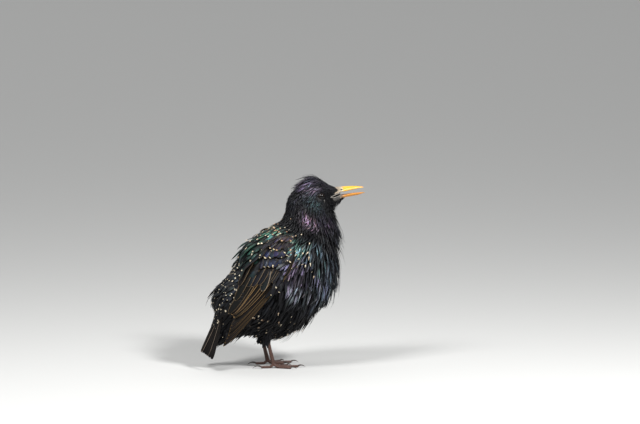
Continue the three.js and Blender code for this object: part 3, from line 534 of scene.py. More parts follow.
def smooth_step(tree, value, low, high):
    """0 below low, 1 above high, and a soft passage between them."""
    inputs = {"Value": value, "From Min": low, "From Max": high}
    node = add_node(tree, "ShaderNodeMapRange", inputs, interpolation_type="SMOOTHSTEP")
    return node.outputs["Result"]


# The parts of a feather as shares of its length or of its half width, each from none to full
GLOSS_START, GLOSS_END, GLOSS_EDGE = (0.3, 0.62), (1.0, 0.95), (0.95, 0.45)
TIP_EDGE, FRINGE_EDGE, END_EDGE = (0.98, 1.02), (0.92, 1.0), (0.955, 0.985)
SHAFT_EDGE, GLOSS_PATCH = (0.1, 0.02), (0.36, 0.6)
BARB_SLANT, PATCH_SCALE, SHORTEST_TIP = 0.16, 9000.0, 0.01
RUSTY_FRINGE, RUSTY_TIP = (0.30, 0.185, 0.08, 1), (0.32, 0.13, 0.05, 1)
VANE_SOCKETS = {"INPUT": [("Ground", "Color"), ("Fringe", "Color"), ("Tip", "Color"),
                          ("Barbs", "Float")],
                "OUTPUT": [("Colour", "Color"), ("Gloss", "Float"), ("Pale", "Float"),
                           ("Relief", "Float")]}


def vane_pattern():
    """The pattern of a feather: its gloss, pale tip, pale fringe, shaft and fine barbs. The
    attribute Mark says how long the tip is, how strong fringe and gloss are, and how rusty."""
    group = bpy.data.node_groups.new("vane pattern", "ShaderNodeTree")
    for way, sockets in VANE_SOCKETS.items():
        for name, kind in sockets:
            group.interface.new_socket(name=name, in_out=way, socket_type=f"NodeSocket{kind}")
    given = group.nodes.new("NodeGroupInput").outputs
    vane = add_node(group, "ShaderNodeUVMap", uv_map="Vane").outputs[0]
    aside, along = add_node(group, "ShaderNodeSeparateXYZ", {0: vane}).outputs[:2]
    away = math_node(group, "ABSOLUTE", math_node(group, "MULTIPLY_ADD", aside, 2.0, -1.0))
    sheen = add_node(group, "ShaderNodeAttribute", attribute_name="Sheen").outputs
    mark = add_node(group, "ShaderNodeAttribute", attribute_name="Mark").outputs
    marks = add_node(group, "ShaderNodeSeparateColor", {0: mark["Color"]}).outputs
    tip_length, fringe_strength, gloss_strength = marks
    uneven = noise(group, PATCH_SCALE, 2.0)

    slanted = math_node(group, "MULTIPLY_ADD", away, -BARB_SLANT, along)
    barbs = math_node(group, "SINE", product(group, slanted, given["Barbs"]))
    shaft = smooth_step(group, away, *SHAFT_EDGE)
    relief = math_node(group, "MULTIPLY_ADD", barbs, 0.25, shaft)

    reach = math_node(group, "SUBTRACT", along, product(group, away, 0.03))
    tip = smooth_step(group, math_node(group, "ADD", reach, tip_length), *TIP_EDGE)
    tip = product(group, tip, math_node(group, "GREATER_THAN", tip_length, SHORTEST_TIP))
    ragged = math_node(group, "MULTIPLY_ADD", uneven, 0.16, away)
    ragged_end = math_node(group, "MULTIPLY_ADD", uneven, 0.05, along)
    fringe = math_node(group, "MAXIMUM", smooth_step(group, ragged, *FRINGE_EDGE),
                       smooth_step(group, ragged_end, *END_EDGE))
    fringe = product(group, fringe, fringe_strength)

    patchy = math_node(group, "MULTIPLY_ADD", smooth_step(group, uneven, *GLOSS_PATCH), 0.7, 0.3)
    gloss = product(group, smooth_step(group, along, *GLOSS_START),
                    smooth_step(group, along, *GLOSS_END), smooth_step(group, away, *GLOSS_EDGE),
                    sheen["Alpha"], gloss_strength, patchy,
                    math_node(group, "SUBTRACT", 1.0, tip),
                    math_node(group, "SUBTRACT", 1.0, fringe))

    colour = mix_colour(group, gloss, given["Ground"], sheen["Color"])
    edging = mix_colour(group, mark["Alpha"], given["Fringe"], RUSTY_FRINGE)
    colour = mix_colour(group, fringe, colour, edging)
    rusty = mix_colour(group, mark["Alpha"], given["Tip"], RUSTY_TIP)
    colour = mix_colour(group, tip, colour, rusty)
    pale = math_node(group, "MAXIMUM", tip, fringe)
    output = group.nodes.new("NodeGroupOutput")
    for socket, value in zip(output.inputs, [colour, gloss, pale, relief]):
        group.links.new(value, socket)
    return group


VANE_PATTERN = vane_pattern()
BARB_DEPTH = 0.00012


def feather_material(name, ground, fringe, tip, barbs, roughness, relief, specular=0.16):
    """Feathers with their own ground, fringe and tip colours, barbs and roughness: glossy parts are
    metallic and a little smoother, and pale parts are rougher."""
    material, tree, shader = new_material(name)
    vane = tree.nodes.new("ShaderNodeGroup")
    vane.node_tree = VANE_PATTERN
    set_inputs(tree, vane, {"Ground": ground, "Fringe": fringe, "Tip": tip, "Barbs": barbs})
    gloss = vane.outputs["Gloss"]
    rough = math_node(tree, "MULTIPLY_ADD", gloss, -0.12, roughness)
    rough = math_node(tree, "MULTIPLY_ADD", vane.outputs["Pale"], 0.2, rough)
    set_inputs(tree, shader, {"Base Color": vane.outputs["Colour"], "Roughness": rough,
                              "Metallic": product(tree, gloss, 0.9),
                              "Normal": bump(tree, vane.outputs["Relief"], relief, BARB_DEPTH),
                              "Specular IOR Level": specular})
    return material


plumage = feather_material("black plumage", (0.005, 0.005, 0.006, 1), (0.03, 0.027, 0.026, 1),
                           (0.78, 0.69, 0.52, 1), 160.0, 0.42, 0.4)

# Along the wing, then the lowest and highest edge of its feathers there
WING_EDGES = np.array([[-6, 15, 19], [0, 12, 23], [14, 7.5, 29], [34, 3, 31], [58, 2.5, 28.5],
                       [74, 3, 22], [88, 3.5, 16], [100, 4, 11], [108, 5, 8]])
# Stations, and how far apart the rows of feathers lie there
ROW_GAPS = np.array([[0, 0.8], [2, 1.0], [4, 1.7], [6, 3.0], [9, 4.2], [11, 4.2], [12, 3.4],
                     [LAST, 3.0]])
# Neighbouring tips draw together in locks: how many fit round the body, and how strongly
LOCKS_ROUND, LOCK_PULL, HANG = 58, 0.6, 0.6
LOCK_LIFT = 1.2
# The factors that make two unrelated numbers from the place of a lock
LOCK_SHINE, LOCK_RISE = (12.9898, 78.233, 43758.5453), (39.425, 11.135, 24634.6345)
# The bare horn of the bill's root: degrees round the face and the station where it ends there
HORN_EDGE = np.array([[46, 0.2], [60, 0.5], [72, 0.65], [84, 0.5], [88, 0], [98, 0], [104, 0.8],
                      [112, 0.85], [120, 0.4], [138, 0.2], [156, 0.4], [180, 0.5]])
ROOT_DEPTH, WING_CLEARANCE, WING_LAYERS, UNDER_WING = 0.9, 0.5, 3.0, 4.5
OVER_WING_BEFORE, OVER_WING_ABOVE = 40, -4.5
EYE_RADIUS, EYE_BULGE, EYE_CLEAR = 3.1, 1.0, 3.5
HORN_CLEAR, MOUTH_AROUND, MOUTH_HALF, MOUTH_END = 0.04, 94, 8, 1.4
# Where loose feathers hang down, in front and below, and where the neck's side sweeps back
FRONT_EDGE, FRONT_FADE, HANG_FROM, HANG_FADE = 125, 25, 4, 2
NECK_AT, NECK_REACH, NECK_SWEEP = (5.5, 102), (1.6, 36), math.radians(56)
# How feathers differ, as factors of their length, width, and lift where they are loose or flat
LENGTHS, WIDTHS, LOOSE_LIFTS, FLAT_LIFTS = (0.82, 1.15), (0.85, 1.2), (0.25, 1.35), (0.7, 1.1)
WISP_LENGTH, WISP_WIDTH, WISP_LIFT = 1.2, 0.32, 1.3
# How they turn aside, curve and roll, in radians, and how deep they are for their half width
LEANS, BENDS, SWAY, BROAD_ROLL, LOOSE_ROLL = (0.06, 0.04), (0.05, 0.09), 0.05, 0.07, 0.16
BROAD_DEPTH, LOOSE_DEPTH, LEAST_DEPTH = 0.22, 0.5, 0.03
# Pale tips in millimetres, with what a feather's width adds, and their limits as shares of it
SPOT, SPOT_BY_WIDTH, SPOT_LEAST, SPOT_MOST = 1.0, 0.38, 0.05, 0.25
BROAD_FRINGE, SHORT, SHORT_SHINE, DULL_SHARE, SHINY, DULL = 0.25, 6.5, 0.6, 0.36, 0.95, 0.12
# Gold tips on the belly: their share, how rusty they are, and the stations where they set in
GOLD_TIPS, GOLD_RUST, GOLD_FROM, GOLD_EDGE = 0.28, 0.35, (10.8, 11.2), 105
random = np.random.default_rng(11)


def wing_cover(points):
    """How far inside the wings' outline places lie in the side view, how far out the wings' face
    is there, and the places along the wing and above its highest edge."""
    reach = points[..., [0, 2]] - WRIST
    along, above = reach @ WING_LINE, reach @ WING_RISE
    low = np.interp(along, WING_EDGES[:, 0], WING_EDGES[:, 1])
    high = np.interp(along, WING_EDGES[:, 0], WING_EDGES[:, 2])
    ahead, behind = along - WING_EDGES[0, 0], WING_EDGES[-1, 0] - along
    inside = np.minimum(np.minimum(above - low, high - above), np.minimum(ahead, behind))
    return inside, np.abs(wing_place(along, above)[..., 1]), along, above - high


def rows_of_roots(first, last, edges, crowd):
    """Station and degrees of roots in rows, closer where the feathers are narrower."""
    found = []
    station, odd = first, 0
    grid = np.linspace(edges[0], edges[1], 241)
    while station < last:
        _, down, across, _ = skin_frame(np.full(grid.shape, station), grid)
        gap = np.interp(station, ROW_GAPS[:, 0], ROW_GAPS[:, 1])
        step = gap / np.linalg.norm(down[60])
        local_gap = step * np.linalg.norm(down, axis=-1)
        width = lie_of(station, grid)[..., 0]
        each = width * gap / np.maximum(local_gap, 0.4) / crowd
        fitting = np.linalg.norm(across[1:], axis=-1) * np.diff(grid) / each[1:]
        count = np.concatenate([[0], np.cumsum(fitting)])
        wanted = np.arange(0.25 + 0.5 * odd, count[-1])
        wanted = wanted + random.uniform(-0.22, 0.22, wanted.shape)
        around = np.interp(wanted, count, grid)
        found.append(np.stack([station + step * random.uniform(-0.3, 0.3, around.shape), around]))
        station, odd = station + step, 1 - odd
    return np.concatenate(found, axis=1)


def eye_middles():
    """The middles of the right and left eyeball, which bulge a little out of the skin."""
    stations, degrees = np.meshgrid(np.arange(0.5, 4, 0.02), np.arange(20, 160, 1.0), indexing="ij")
    points = straight_skin(stations, degrees)
    nearest = np.argmin(np.hypot(points[..., 0] - EYE_X, points[..., 2] - EYE_Z))
    reach = points[..., 1].flat[nearest] + EYE_BULGE - EYE_RADIUS
    return [head_turn(np.array([EYE_X, side * reach, EYE_Z])) for side in (-1, 1)]


EYES = eye_middles()


def horn_end(around):
    return np.interp(np.abs(around), HORN_EDGE[:, 0], HORN_EDGE[:, 1])


def skin_uv(station, around):
    """The place of a root in the coat's bake map."""
    return np.stack([(around % 360) / 360, station / LAST], axis=-1)


def square_to(way, sideways):
    return unit(sideways - way * np.sum(sideways * way, axis=-1, keepdims=True))


def free_roots(first, last, edges, crowd):
    """Roots clear of eyes, horn and mouth, and whether their feathers lie over the wing."""
    station, around = rows_of_roots(first, last, edges, crowd)
    root = skin_point(station, around)
    inside, _, wing_along, wing_above = wing_cover(root)
    to_eye = np.min([np.linalg.norm(root - eye, axis=-1) for eye in EYES], axis=0)
    on_horn = station < horn_end(around) + HORN_CLEAR
    mouth = (np.abs(np.abs(around) - MOUTH_AROUND) < MOUTH_HALF) & (station < MOUTH_END)
    keep = (inside < UNDER_WING) & (to_eye > EYE_CLEAR) & ~on_horn & ~mouth
    over = (wing_along < OVER_WING_BEFORE) | (wing_above > OVER_WING_ABOVE)
    return station[keep], around[keep], over[keep]


def hang_of(station, around, down, across, out):
    """How far feathers would lean from the body's line to hang down, and how much they do."""
    aside = (np.abs(around) - NECK_AT[1]) / NECK_REACH[1]
    neck = np.exp(-((station - NECK_AT[0]) / NECK_REACH[0]) ** 2 - aside ** 2)
    comb = np.stack([-np.sin(NECK_SWEEP * neck), 0 * neck, -np.cos(NECK_SWEEP * neck)], axis=-1)
    fall = comb - out * np.sum(comb * out, axis=-1, keepdims=True)
    hang = np.arctan2(np.sum(fall * unit(across), axis=-1), np.sum(fall * unit(down), axis=-1))
    front = HANG * np.clip((FRONT_EDGE - np.abs(around)) / FRONT_FADE, 0, 1)
    front = front * np.clip((station - HANG_FROM) / HANG_FADE, 0, 1)
    return hang * np.linalg.norm(fall, axis=-1), front + (1 - front) * neck


def lock_number(lock, row, factors):
    """A number from 0 to 1 that all the feathers of a lock share."""
    return np.abs(np.sin(lock * factors[0] + row * factors[1]) * factors[2]) % 1


def clear_of_wings(centre, over, lift):
    """The feathers' middles, moved over or under the wing where they meet it."""
    covered, face, _, _ = wing_cover(centre)
    height = np.abs(centre[..., 1])
    share = np.clip(covered / 3, 0, 1) * np.clip((height - face + 8) / 4, 0, 1)
    raised = lift[:, None] * SHAPE_AT * 0.3
    over_y = np.maximum(height, face + WING_LAYERS + WING_CLEARANCE + raised)
    under_y = np.minimum(height, face - WING_CLEARANCE)
    moved = np.where(over[:, None], over_y, under_y) * share + height * (1 - share)
    centre[..., 1] = np.sign(centre[..., 1]) * moved
    return centre


def coat(name, first, last, edges, crowd, broad=False, wisps=0.0, loose=1.0):
    """Feathers between two stations and two angles of the skin, joined as one piece."""
    station, around, over = free_roots(first, last, edges, crowd)
    count = len(station)
    width, length, lift, pointed, pale, rust = lie_of(station, around).T
    beneath = np.interp(station, GOLD_FROM, [0, 1]) * (np.abs(around) < GOLD_EDGE)
    pale, rust = np.maximum(pale, GOLD_TIPS * beneath), np.maximum(rust, GOLD_RUST * beneath)
    fine = random.uniform(0, 1, count) < wisps * pointed
    length = length * random.uniform(*LENGTHS, count) * np.where(fine, WISP_LENGTH, 1) * loose
    width = width * random.uniform(*WIDTHS, count) * np.where(fine, WISP_WIDTH, 1)
    shaggy, sleek = random.uniform(*LOOSE_LIFTS, count), random.uniform(*FLAT_LIFTS, count)
    lift = lift * np.where(pointed > 0.5, shaggy, sleek) * np.where(fine, WISP_LIFT, 1) * loose
    sway = np.sin(station * 2.3 + around * 0.09) + np.sin(station * 1.1 - around * 0.05 + 2)
    lean = random.normal(0, LEANS[0] + LEANS[1] * pointed, count) + SWAY * sway
    bend = random.normal(0, BENDS[0] + BENDS[1] * pointed, count)

    # Their line over the skin: straight back, or hanging down where they are loose
    _, down, across, out = skin_frame(station, around)
    hang, weight = hang_of(station, around, down, across, out)
    lean = lean + hang * pointed * weight
    degree, stage = (np.linalg.norm(way, axis=-1)[:, None] for way in (across, down))
    length, lean, bend = length[:, None], lean[:, None], bend[:, None]
    at = station[:, None] + length * np.cos(lean) * SHAPE_AT / stage
    curve = length * (np.sin(lean) * SHAPE_AT + bend * SHAPE_AT * SHAPE_AT)
    turn = around[:, None] + curve / np.maximum(degree, 0.08)

    # Neighbouring tips draw together in locks, and each lock has its own shine and height
    row = np.floor(at[:, -1] * 1.6 + 0.3 * np.sin(around * 0.3))
    place = turn[:, -1] * LOCKS_ROUND / 360 + 0.5 * (row % 2) + 0.2 * np.sin(row * 2.4)
    lock = np.round(place)
    pull = (lock - place) * 360 / LOCKS_ROUND * LOCK_PULL * pointed
    turn = turn + pull[:, None] * SHAPE_AT ** 1.5
    uneven = LOCK_LIFT * (lock_number(lock, row, LOCK_RISE) - 0.5)
    lift = lift * (1 + pointed * (np.abs(around) < FRONT_EDGE) * uneven)
    point, _, sideways, out = skin_frame(at, turn)
    rise = -ROOT_DEPTH + (lift[:, None] + ROOT_DEPTH) * SHAPE_AT ** 0.9
    centre = clear_of_wings(point + out * rise[..., None], over, lift)

    way = unit(np.gradient(centre, axis=1))
    flat = square_to(way, sideways)
    roll = random.normal(0, BROAD_ROLL if broad else LOOSE_ROLL, count)[:, None, None]
    normal = np.cross(way, flat)
    normal = normal * np.sign(np.sum(normal * out, axis=-1, keepdims=True))
    across = flat * np.cos(roll) + normal * np.sin(roll)
    face = normal * np.cos(roll) - flat * np.sin(roll)
    shape = HACKLE_SHAPE * pointed[:, None] + CONTOUR_SHAPE * (1 - pointed[:, None])
    half = shape * width[:, None] / 2
    thick = half * (BROAD_DEPTH if broad else LOOSE_DEPTH) + LEAST_DEPTH

    gloss = gloss_of(at, turn)
    gloss[..., :3] *= random.uniform(0.75, 1.3, (count, 1, 3)) ** 0.55
    mark = np.zeros((count, 1, 4))
    spot = (SPOT + SPOT_BY_WIDTH * width) / length[:, 0]
    spot = spot * np.interp(station, [10.6, 11.4], [1, 0.6])
    spot = spot * random.uniform(0.75, 1.2, count) * (1 + 2 * (pointed > 0.6))
    even = np.arange(count) * 0.618034 % 1 * 0.7 + 0.3 * random.uniform(0, 1, count)
    mark[:, 0, 0] = np.where(even < pale, np.clip(spot, SPOT_LEAST, SPOT_MOST), 0)
    mark[:, 0, 1] = BROAD_FRINGE if broad else 0.0
    shine = lock_number(lock, row, LOCK_SHINE) * pointed
    shine = shine + random.uniform(0, 1, count) * (1 - pointed)
    shine = np.where(shine > DULL_SHARE, SHINY, DULL)
    shine = np.where(length[:, 0] < SHORT, SHORT_SHINE, shine)
    mark[:, 0, 2] = shine * random.uniform(0.5, 1.3, count)
    mark[:, 0, 3] = np.clip(rust + random.normal(0, 0.2, count), 0, 1)
    joined_feathers(name, centre, across, face, half, thick, CONTOUR if broad else HACKLE,
                    {"Sheen": gloss, "Mark": mark}, skin_uv(station, around), plumage)


FRONT, BACK, AROUND = (-112, 112), (112, 248), (-180, 180)
coat("face_and_crown_feathers", 0.12, 4.6, AROUND, 1.25, wisps=0.35)
coat("throat_hackles", 4.5, 8.0, FRONT, 1.3, wisps=0.4)
coat("nape_feathers", 4.5, 7.6, BACK, 1.25, wisps=0.1)
coat("breast_feathers", 7.9, 11.4, FRONT, 1.3, wisps=0.3)
coat("belly_feathers", 11.3, 16.4, FRONT, 1.3, wisps=0.3)
coat("mantle_feathers", 7.5, 11.6, BACK, 1.15, broad=True)
coat("rump_feathers", 11.5, 15.6, BACK, 1.2, broad=True)
# Long loose strands stand off the hind crown, the end of the mantle and the rump
coat("crest_strands", 1.8, 3.4, (138, 222), 0.2, wisps=0.1, loose=1.42)
coat("mantle_strands", 9.0, 10.3, (158, 202), 0.4, wisps=0.2, loose=1.35)
coat("rump_strands", 12.2, 13.3, (140, 220), 0.35, wisps=0.2, loose=1.3)

# ---- Wings ----
# Folded wings that droop a little: stiff flight feathers with a shaft and golden-brown fringes,
# and over them rows of blue-black coverts and green scapulars with buff tips that lap each other.
flight = feather_material("flight feathers", (0.007, 0.006, 0.005, 1), (0.13, 0.095, 0.06, 1),
                          (0.6, 0.45, 0.28, 1), 420.0, 0.5, 0.5, 0.07)
coverts = feather_material("wing coverts", (0.005, 0.005, 0.006, 1), (0.27, 0.21, 0.15, 1),
                           (0.84, 0.73, 0.50, 1), 260.0, 0.42, 0.5)
VANE_SHAFT = -0.25
VANE_PROFILE = [(-1, 0), (-0.93, 0.5), (VANE_SHAFT - 0.07, 0.75), (VANE_SHAFT, 1.3),
                (VANE_SHAFT + 0.07, 0.75), (0.93, 0.5), (1, 0), (0, 0.1)]
VANE_AT = np.array([0, 0.08, 0.18, 0.3, 0.42, 0.54, 0.66, 0.77, 0.86, 0.93, 0.975, 1.0])
ROUND_VANE = np.array([0.3, 0.5, 0.7, 0.86, 0.95, 1.0, 1.0, 0.95, 0.84, 0.64, 0.4, 0.08])
LONG_VANE = np.array([0.35, 0.6, 0.8, 0.93, 1.0, 1.0, 0.97, 0.9, 0.78, 0.58, 0.36, 0.08])
VANE_DEPTH, VANE_GAP, STEEPEST, LONG_FROM = 0.34, 0.36, 0.5, 36
VANE_SPOT, VANE_SPOT_MOST, ROOT_HEIGHT, LOOSE_TIPS = 2.2, 0.18, 0.6, 2.2
# How far the feathers differ in root, tip, bow, tilt and height
ROOT_JITTER, TIP_JITTER, BOW_JITTER, TILT_JITTER, HEIGHT_JITTER = 0.15, 0.45, 0.3, 0.04, 0.08
BLUE, BROWN = (0.075, 0.095, 0.18), (0.08, 0.07, 0.075)
BLACK, VIOLET = (0.035, 0.048, 0.055), (0.15, 0.12, 0.19)
# Rows from the lowest feathers up: how many, roots and tips of the first and last, width, height
# over the skin, sideways bow, gloss with its strength, fringe, pale tips and how rusty they are
WING_ROWS = [
    ("primaries", 7, (24, 7), (33, 9.5), (108, 5.5), (90, 12.5),
     6.2, 0.9, 0.6, BROWN, 0.15, 0.4, 0, 0.8),
    ("secondaries", 5, (33, 13.2), (37, 23), (83, 15.5), (82, 19),
     7.8, 1.6, 0.2, BROWN, 0.15, 1.1, 0, 0.7),
    ("tertials", 3, (32, 26), (34, 31), (82.5, 20), (58, 28),
     7.4, 2.2, 0.2, BLACK, 0.15, 1.1, 0, 0.15),
    ("primary coverts", 5, (15, 6), (24, 9), (40, 4.5), (42, 9),
     4.8, 1.8, 0, BLACK, 0.2, 0.55, 0, 0.7),
    ("alula", 3, (9, 8), (12, 11), (29, 4.4), (25, 8.5),
     4.6, 2.3, 0, BLACK, 0.2, 0.7, 0, 0.6),
    ("greater coverts", 8, (13, 8), (33, 25), (36, 7.5), (54, 23),
     5.4, 2.7, 0, BLACK, 0.3, 0.75, 0.0, 0.5),
    ("median coverts", 7, (10, 11), (24, 28), (20.5, 14), (35, 24),
     5.8, 3.2, 0, BLUE, 0.6, 0.15, 0.75, 0.0),
    ("lesser coverts", 7, (3, 13), (16, 29), (13, 14.5), (28, 27.5),
     5.6, 3.6, 0, BLUE, 0.5, 0.25, 0.55, 0.1),
    ("upper lesser coverts", 8, (-2, 15), (9, 29), (7.5, 15.5), (19, 30),
     4.0, 3.9, 0, VIOLET, 0.35, 0.4, 0.85, 0.35),
    ("wrist coverts", 8, (-6, 16), (1, 26), (0.5, 17), (10, 28),
     3.6, 4.1, 0, VIOLET, 0.35, 0.5, 0.7, 0.6),
    ("loose covert", 1, (29, 18.5), (29, 18.5), (50.6, 13.3), (50.6, 13.3),
     8.2, 3.5, 0, BLACK, 0.4, 1.8, 0, 0.1),
    ("spotted flank feathers", 2, (30, 3.5), (35, 9), (41.5, 0.8), (47.6, 4.8),
     3.6, 5.0, 0, BLACK, 0.2, 0, 1, 0),
    ("spotted shoulder feathers", 2, (5, 10), (3, 19), (16, 8), (13, 15.8),
     3.6, 4.8, 0, BLACK, 0.2, 0, 1, 0.1),
    ("lower scapulars", 6, (4, 27), (34, 31), (17, 29), (50, 29),
     6.0, 4.2, 0, BLACK, 0.7, 0.1, 0.7, 0),
]
WING_PARTS = [("flight_feathers", 0, 3, flight), ("outer_coverts", 3, 5, flight),
              ("coverts", 5, 11, coverts), ("scapulars", 11, 14, coverts)]


def between(start, end, share):
    return np.asarray(start) * (1 - share) + np.asarray(end) * share


def vane_row(count, root_a, root_b, tip_a, tip_b, width, layer, bow, gloss, shine, fringe, pale,
             rust):
    """Arrays of all the feathers in one row of the right wing."""
    share = np.linspace(0, 1, count)[:, None] if count > 1 else np.zeros((1, 1))
    roots = between(root_a, root_b, share) + random.normal(0, ROOT_JITTER, (count, 2))
    uneven = 1 + LOOSE_TIPS * (0 < pale < 1) * np.array([1, 0.3])
    tips = between(tip_a, tip_b, share) + random.normal(0, TIP_JITTER, (count, 2)) * uneven
    t = VANE_AT
    bow = (bow + random.normal(0, BOW_JITTER, (count, 1))) * 4 * t * (1 - t)
    pitch = (root_b[1] - root_a[1] + tip_b[1] - tip_a[1]) / 2 / max(count - 1, 1)
    tilt = math.asin(min(STEEPEST, VANE_GAP / max(pitch, 0.3)))
    tilt = tilt + random.normal(0, TILT_JITTER, (count, 1))
    height = layer - (layer - ROOT_HEIGHT) * (1 - t) ** 3
    height = height + random.normal(0, HEIGHT_JITTER, (count, 1))
    along = between(roots[:, :1], tips[:, :1], t)
    point, crosswise, out = wing_frame(along, between(roots[:, 1:], tips[:, 1:], t) + bow)
    centre = point + out * height[..., None]
    tilt = tilt[..., None]
    across = crosswise * np.cos(tilt) - out * np.sin(tilt)
    face = out * np.cos(tilt) + crosswise * np.sin(tilt)
    breadth = width * random.uniform(0.93, 1.07, (count, 1))
    shape = LONG_VANE if np.linalg.norm(np.array(tip_a) - root_a) > LONG_FROM else ROUND_VANE
    half = shape * breadth / 2
    sheen = np.tile(np.array([*gloss, shine]), (count, 1, 1))
    sheen[..., :3] *= random.uniform(0.8, 1.25, (count, 1, 3))
    mark = np.zeros((count, 1, 4))
    spot = np.minimum(VANE_SPOT / np.linalg.norm(tips - roots, axis=-1), VANE_SPOT_MOST)
    spot = spot * random.uniform(0.7, 1.35, count)
    mark[:, 0, 0] = np.where(random.uniform(0, 1, count) < pale, spot, 0)
    mark[:, 0, 1] = fringe * random.uniform(0.75, 1.1, count)
    mark[:, 0, 2] = random.uniform(0.3, 1.2, count)
    mark[:, 0, 3] = np.clip(rust + random.normal(0, 0.15, count), 0, 1)
    return centre, across, face, half, sheen, mark


def wing(word, side):
    """The feathers of one wing, side -1 for the bird's right and 1 for its left."""
    flip = np.array([1, -side, 1])
    for part, first, last, material in WING_PARTS:
        rows = [vane_row(*row[1:]) for row in WING_ROWS[first:last]]
        centre, across, face, half, sheen, mark = (np.concatenate(array) for array in zip(*rows))
        rise = np.full(half.shape, VANE_DEPTH)
        joined_feathers(f"{part}_{word}", centre * flip, across * flip, face * flip, half, rise,
                        VANE_PROFILE, {"Sheen": sheen, "Mark": mark}, None, material,
                        VANE_SHAFT)


wing("right", -1)
wing("left", 1)

# ---- Tail ----
# Twelve stiff tail feathers, dark grey-brown with thin pale fringes, folded nearly shut: the middle
# pair lies on top and each pair below it reaches a little further out.
tail_finish = feather_material("tail feathers", (0.006, 0.0055, 0.0055, 1), (0.22, 0.18, 0.15, 1),
                               (0.5, 0.4, 0.3, 1), 420.0, 0.7, 0.5, 0.04)
TAIL_ROOT, TAIL_TIP = np.array([-47.0, 48.0]), np.array([-63.5, 14.2])
TAIL_FEATHERS, TAIL_NOTCH, TAIL_LAYER, TAIL_ARCH = 12, 0.05, 0.55, 45.0
TAIL_ROOT_PITCH, TAIL_TIP_PITCH, TAIL_FEATHER_WIDTH = 1.5, 3.2, 8.4


def tail():
    """All the tail's feathers as one piece, from the middle pair outwards and down."""
    places = np.arange(TAIL_FEATHERS) - (TAIL_FEATHERS - 1) / 2
    reach = 1 - TAIL_NOTCH * (1 - np.abs(places) / (TAIL_FEATHERS / 2))
    level = np.where(places == -0.5, 0, np.abs(places) + 0.5)
    line = TAIL_TIP - TAIL_ROOT
    down = np.array([line[0], 0, line[1]])
    out = unit(np.array([line[1], 0, -line[0]]))
    t = VANE_AT
    spread = places[:, None] * (TAIL_ROOT_PITCH * (1 - t) + TAIL_TIP_PITCH * t)
    centre = np.array([TAIL_ROOT[0], 0, TAIL_ROOT[1]]) + down * (t * reach[:, None])[..., None]
    sag = level[:, None] * TAIL_LAYER * t + spread ** 2 / (2 * TAIL_ARCH)
    centre = centre - out * sag[..., None]
    centre[..., 1] += spread
    way = unit(np.gradient(centre, axis=1))
    droop = (spread / TAIL_ARCH)[..., None]
    across = np.array([0, 1.0, 0]) * np.cos(droop) - out * np.sin(droop)
    face = np.cross(way, across)
    face = face * np.sign(face @ out)[..., None]
    half = np.tile(LONG_VANE, (TAIL_FEATHERS, 1)) ** 0.6 * TAIL_FEATHER_WIDTH / 2
    sheen = np.tile(np.array([*BROWN, 0.1]), (TAIL_FEATHERS, 1, 1))
    mark = np.tile(np.array([0, 0.07, 0.9, 0.1]), (TAIL_FEATHERS, 1, 1))
    mark[[2, 5, 6, 9], 0, 1] = 0.6, 1.0, 1.0, 0.6
    rise = np.full(half.shape, VANE_DEPTH)
    piece = joined_feathers("tail_feathers", centre, across, face, half, rise, VANE_PROFILE,
                            {"Sheen": sheen, "Mark": mark}, None, tail_finish,
                            VANE_SHAFT)
    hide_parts("tail")


tail()

# ---- Bill ----
# Two halves of smooth horn, open in song: yellow with a greyish, paler root, a ridge along the top
# and sharp cutting edges; the lower half is painted darker and redder as shade. Each nostril is a
# dark slit in a shallow dent of the horn, its dark colour painted shade of the opening.
UPPER_BILL = np.array([[61.5, 158.4, 154.3, 4.6], [62.9, 158.6, 154.6, 4.4],
                       [65.5, 158.8, 155.0, 3.6], [68.7, 159.0, 155.5, 3.0],
                       [74.1, 159.2, 156.6, 2.2], [79.0, 159.1, 157.5, 1.4],
                       [82.2, 158.8, 157.9, 0.8], [83.8, 158.4, 158.15, 0.2]])
LOWER_BILL = np.array([[61.5, 147.9, 151.1, 4.3], [63.0, 148.5, 151.5, 4.2],
                       [65.6, 149.2, 151.8, 3.4], [68.7, 149.9, 152.3, 2.8],
                       [73.8, 150.9, 153.0, 2.1], [79.0, 151.7, 153.5, 1.4],
                       [83.0, 152.9, 153.7, 0.75], [85.0, 153.3, 153.55, 0.2]])
BILL_RINGS, BILL_SIDES, FACE_RINGS, BURIED_RINGS = 40, 28, 12, 3
NOSTRIL_X, NOSTRIL_Z, NOSTRIL_SIZE = 64.6, 156.9, (1.5, 0.55)
SLIT_Y, SLIT_AHEAD, SLIT_SIZE = 3.35, -0.6, (1.1, 0.35, 0.42)
# The ridge's height and width, how the sides round, the inner side, and the dent at a nostril
RIDGE, RIDGE_WIDTH, SIDE_ROUND, INNER_WIDTH, INNER_RISE, DENT = 0.12, 0.25, 0.12, 0.86, 0.28, 0.75
# How far the horn's edge stands off the face, and how it sinks in past it
HORN_LIFT, HORN_SINK, SINK_OVER, INNER_SINK = 0.25, 1.1, 0.12, 1.2
# The lower half's place across the map Horn: painted shade that turns its colours redder and darker
LOWER_PAINTED_SHADE = 0.9

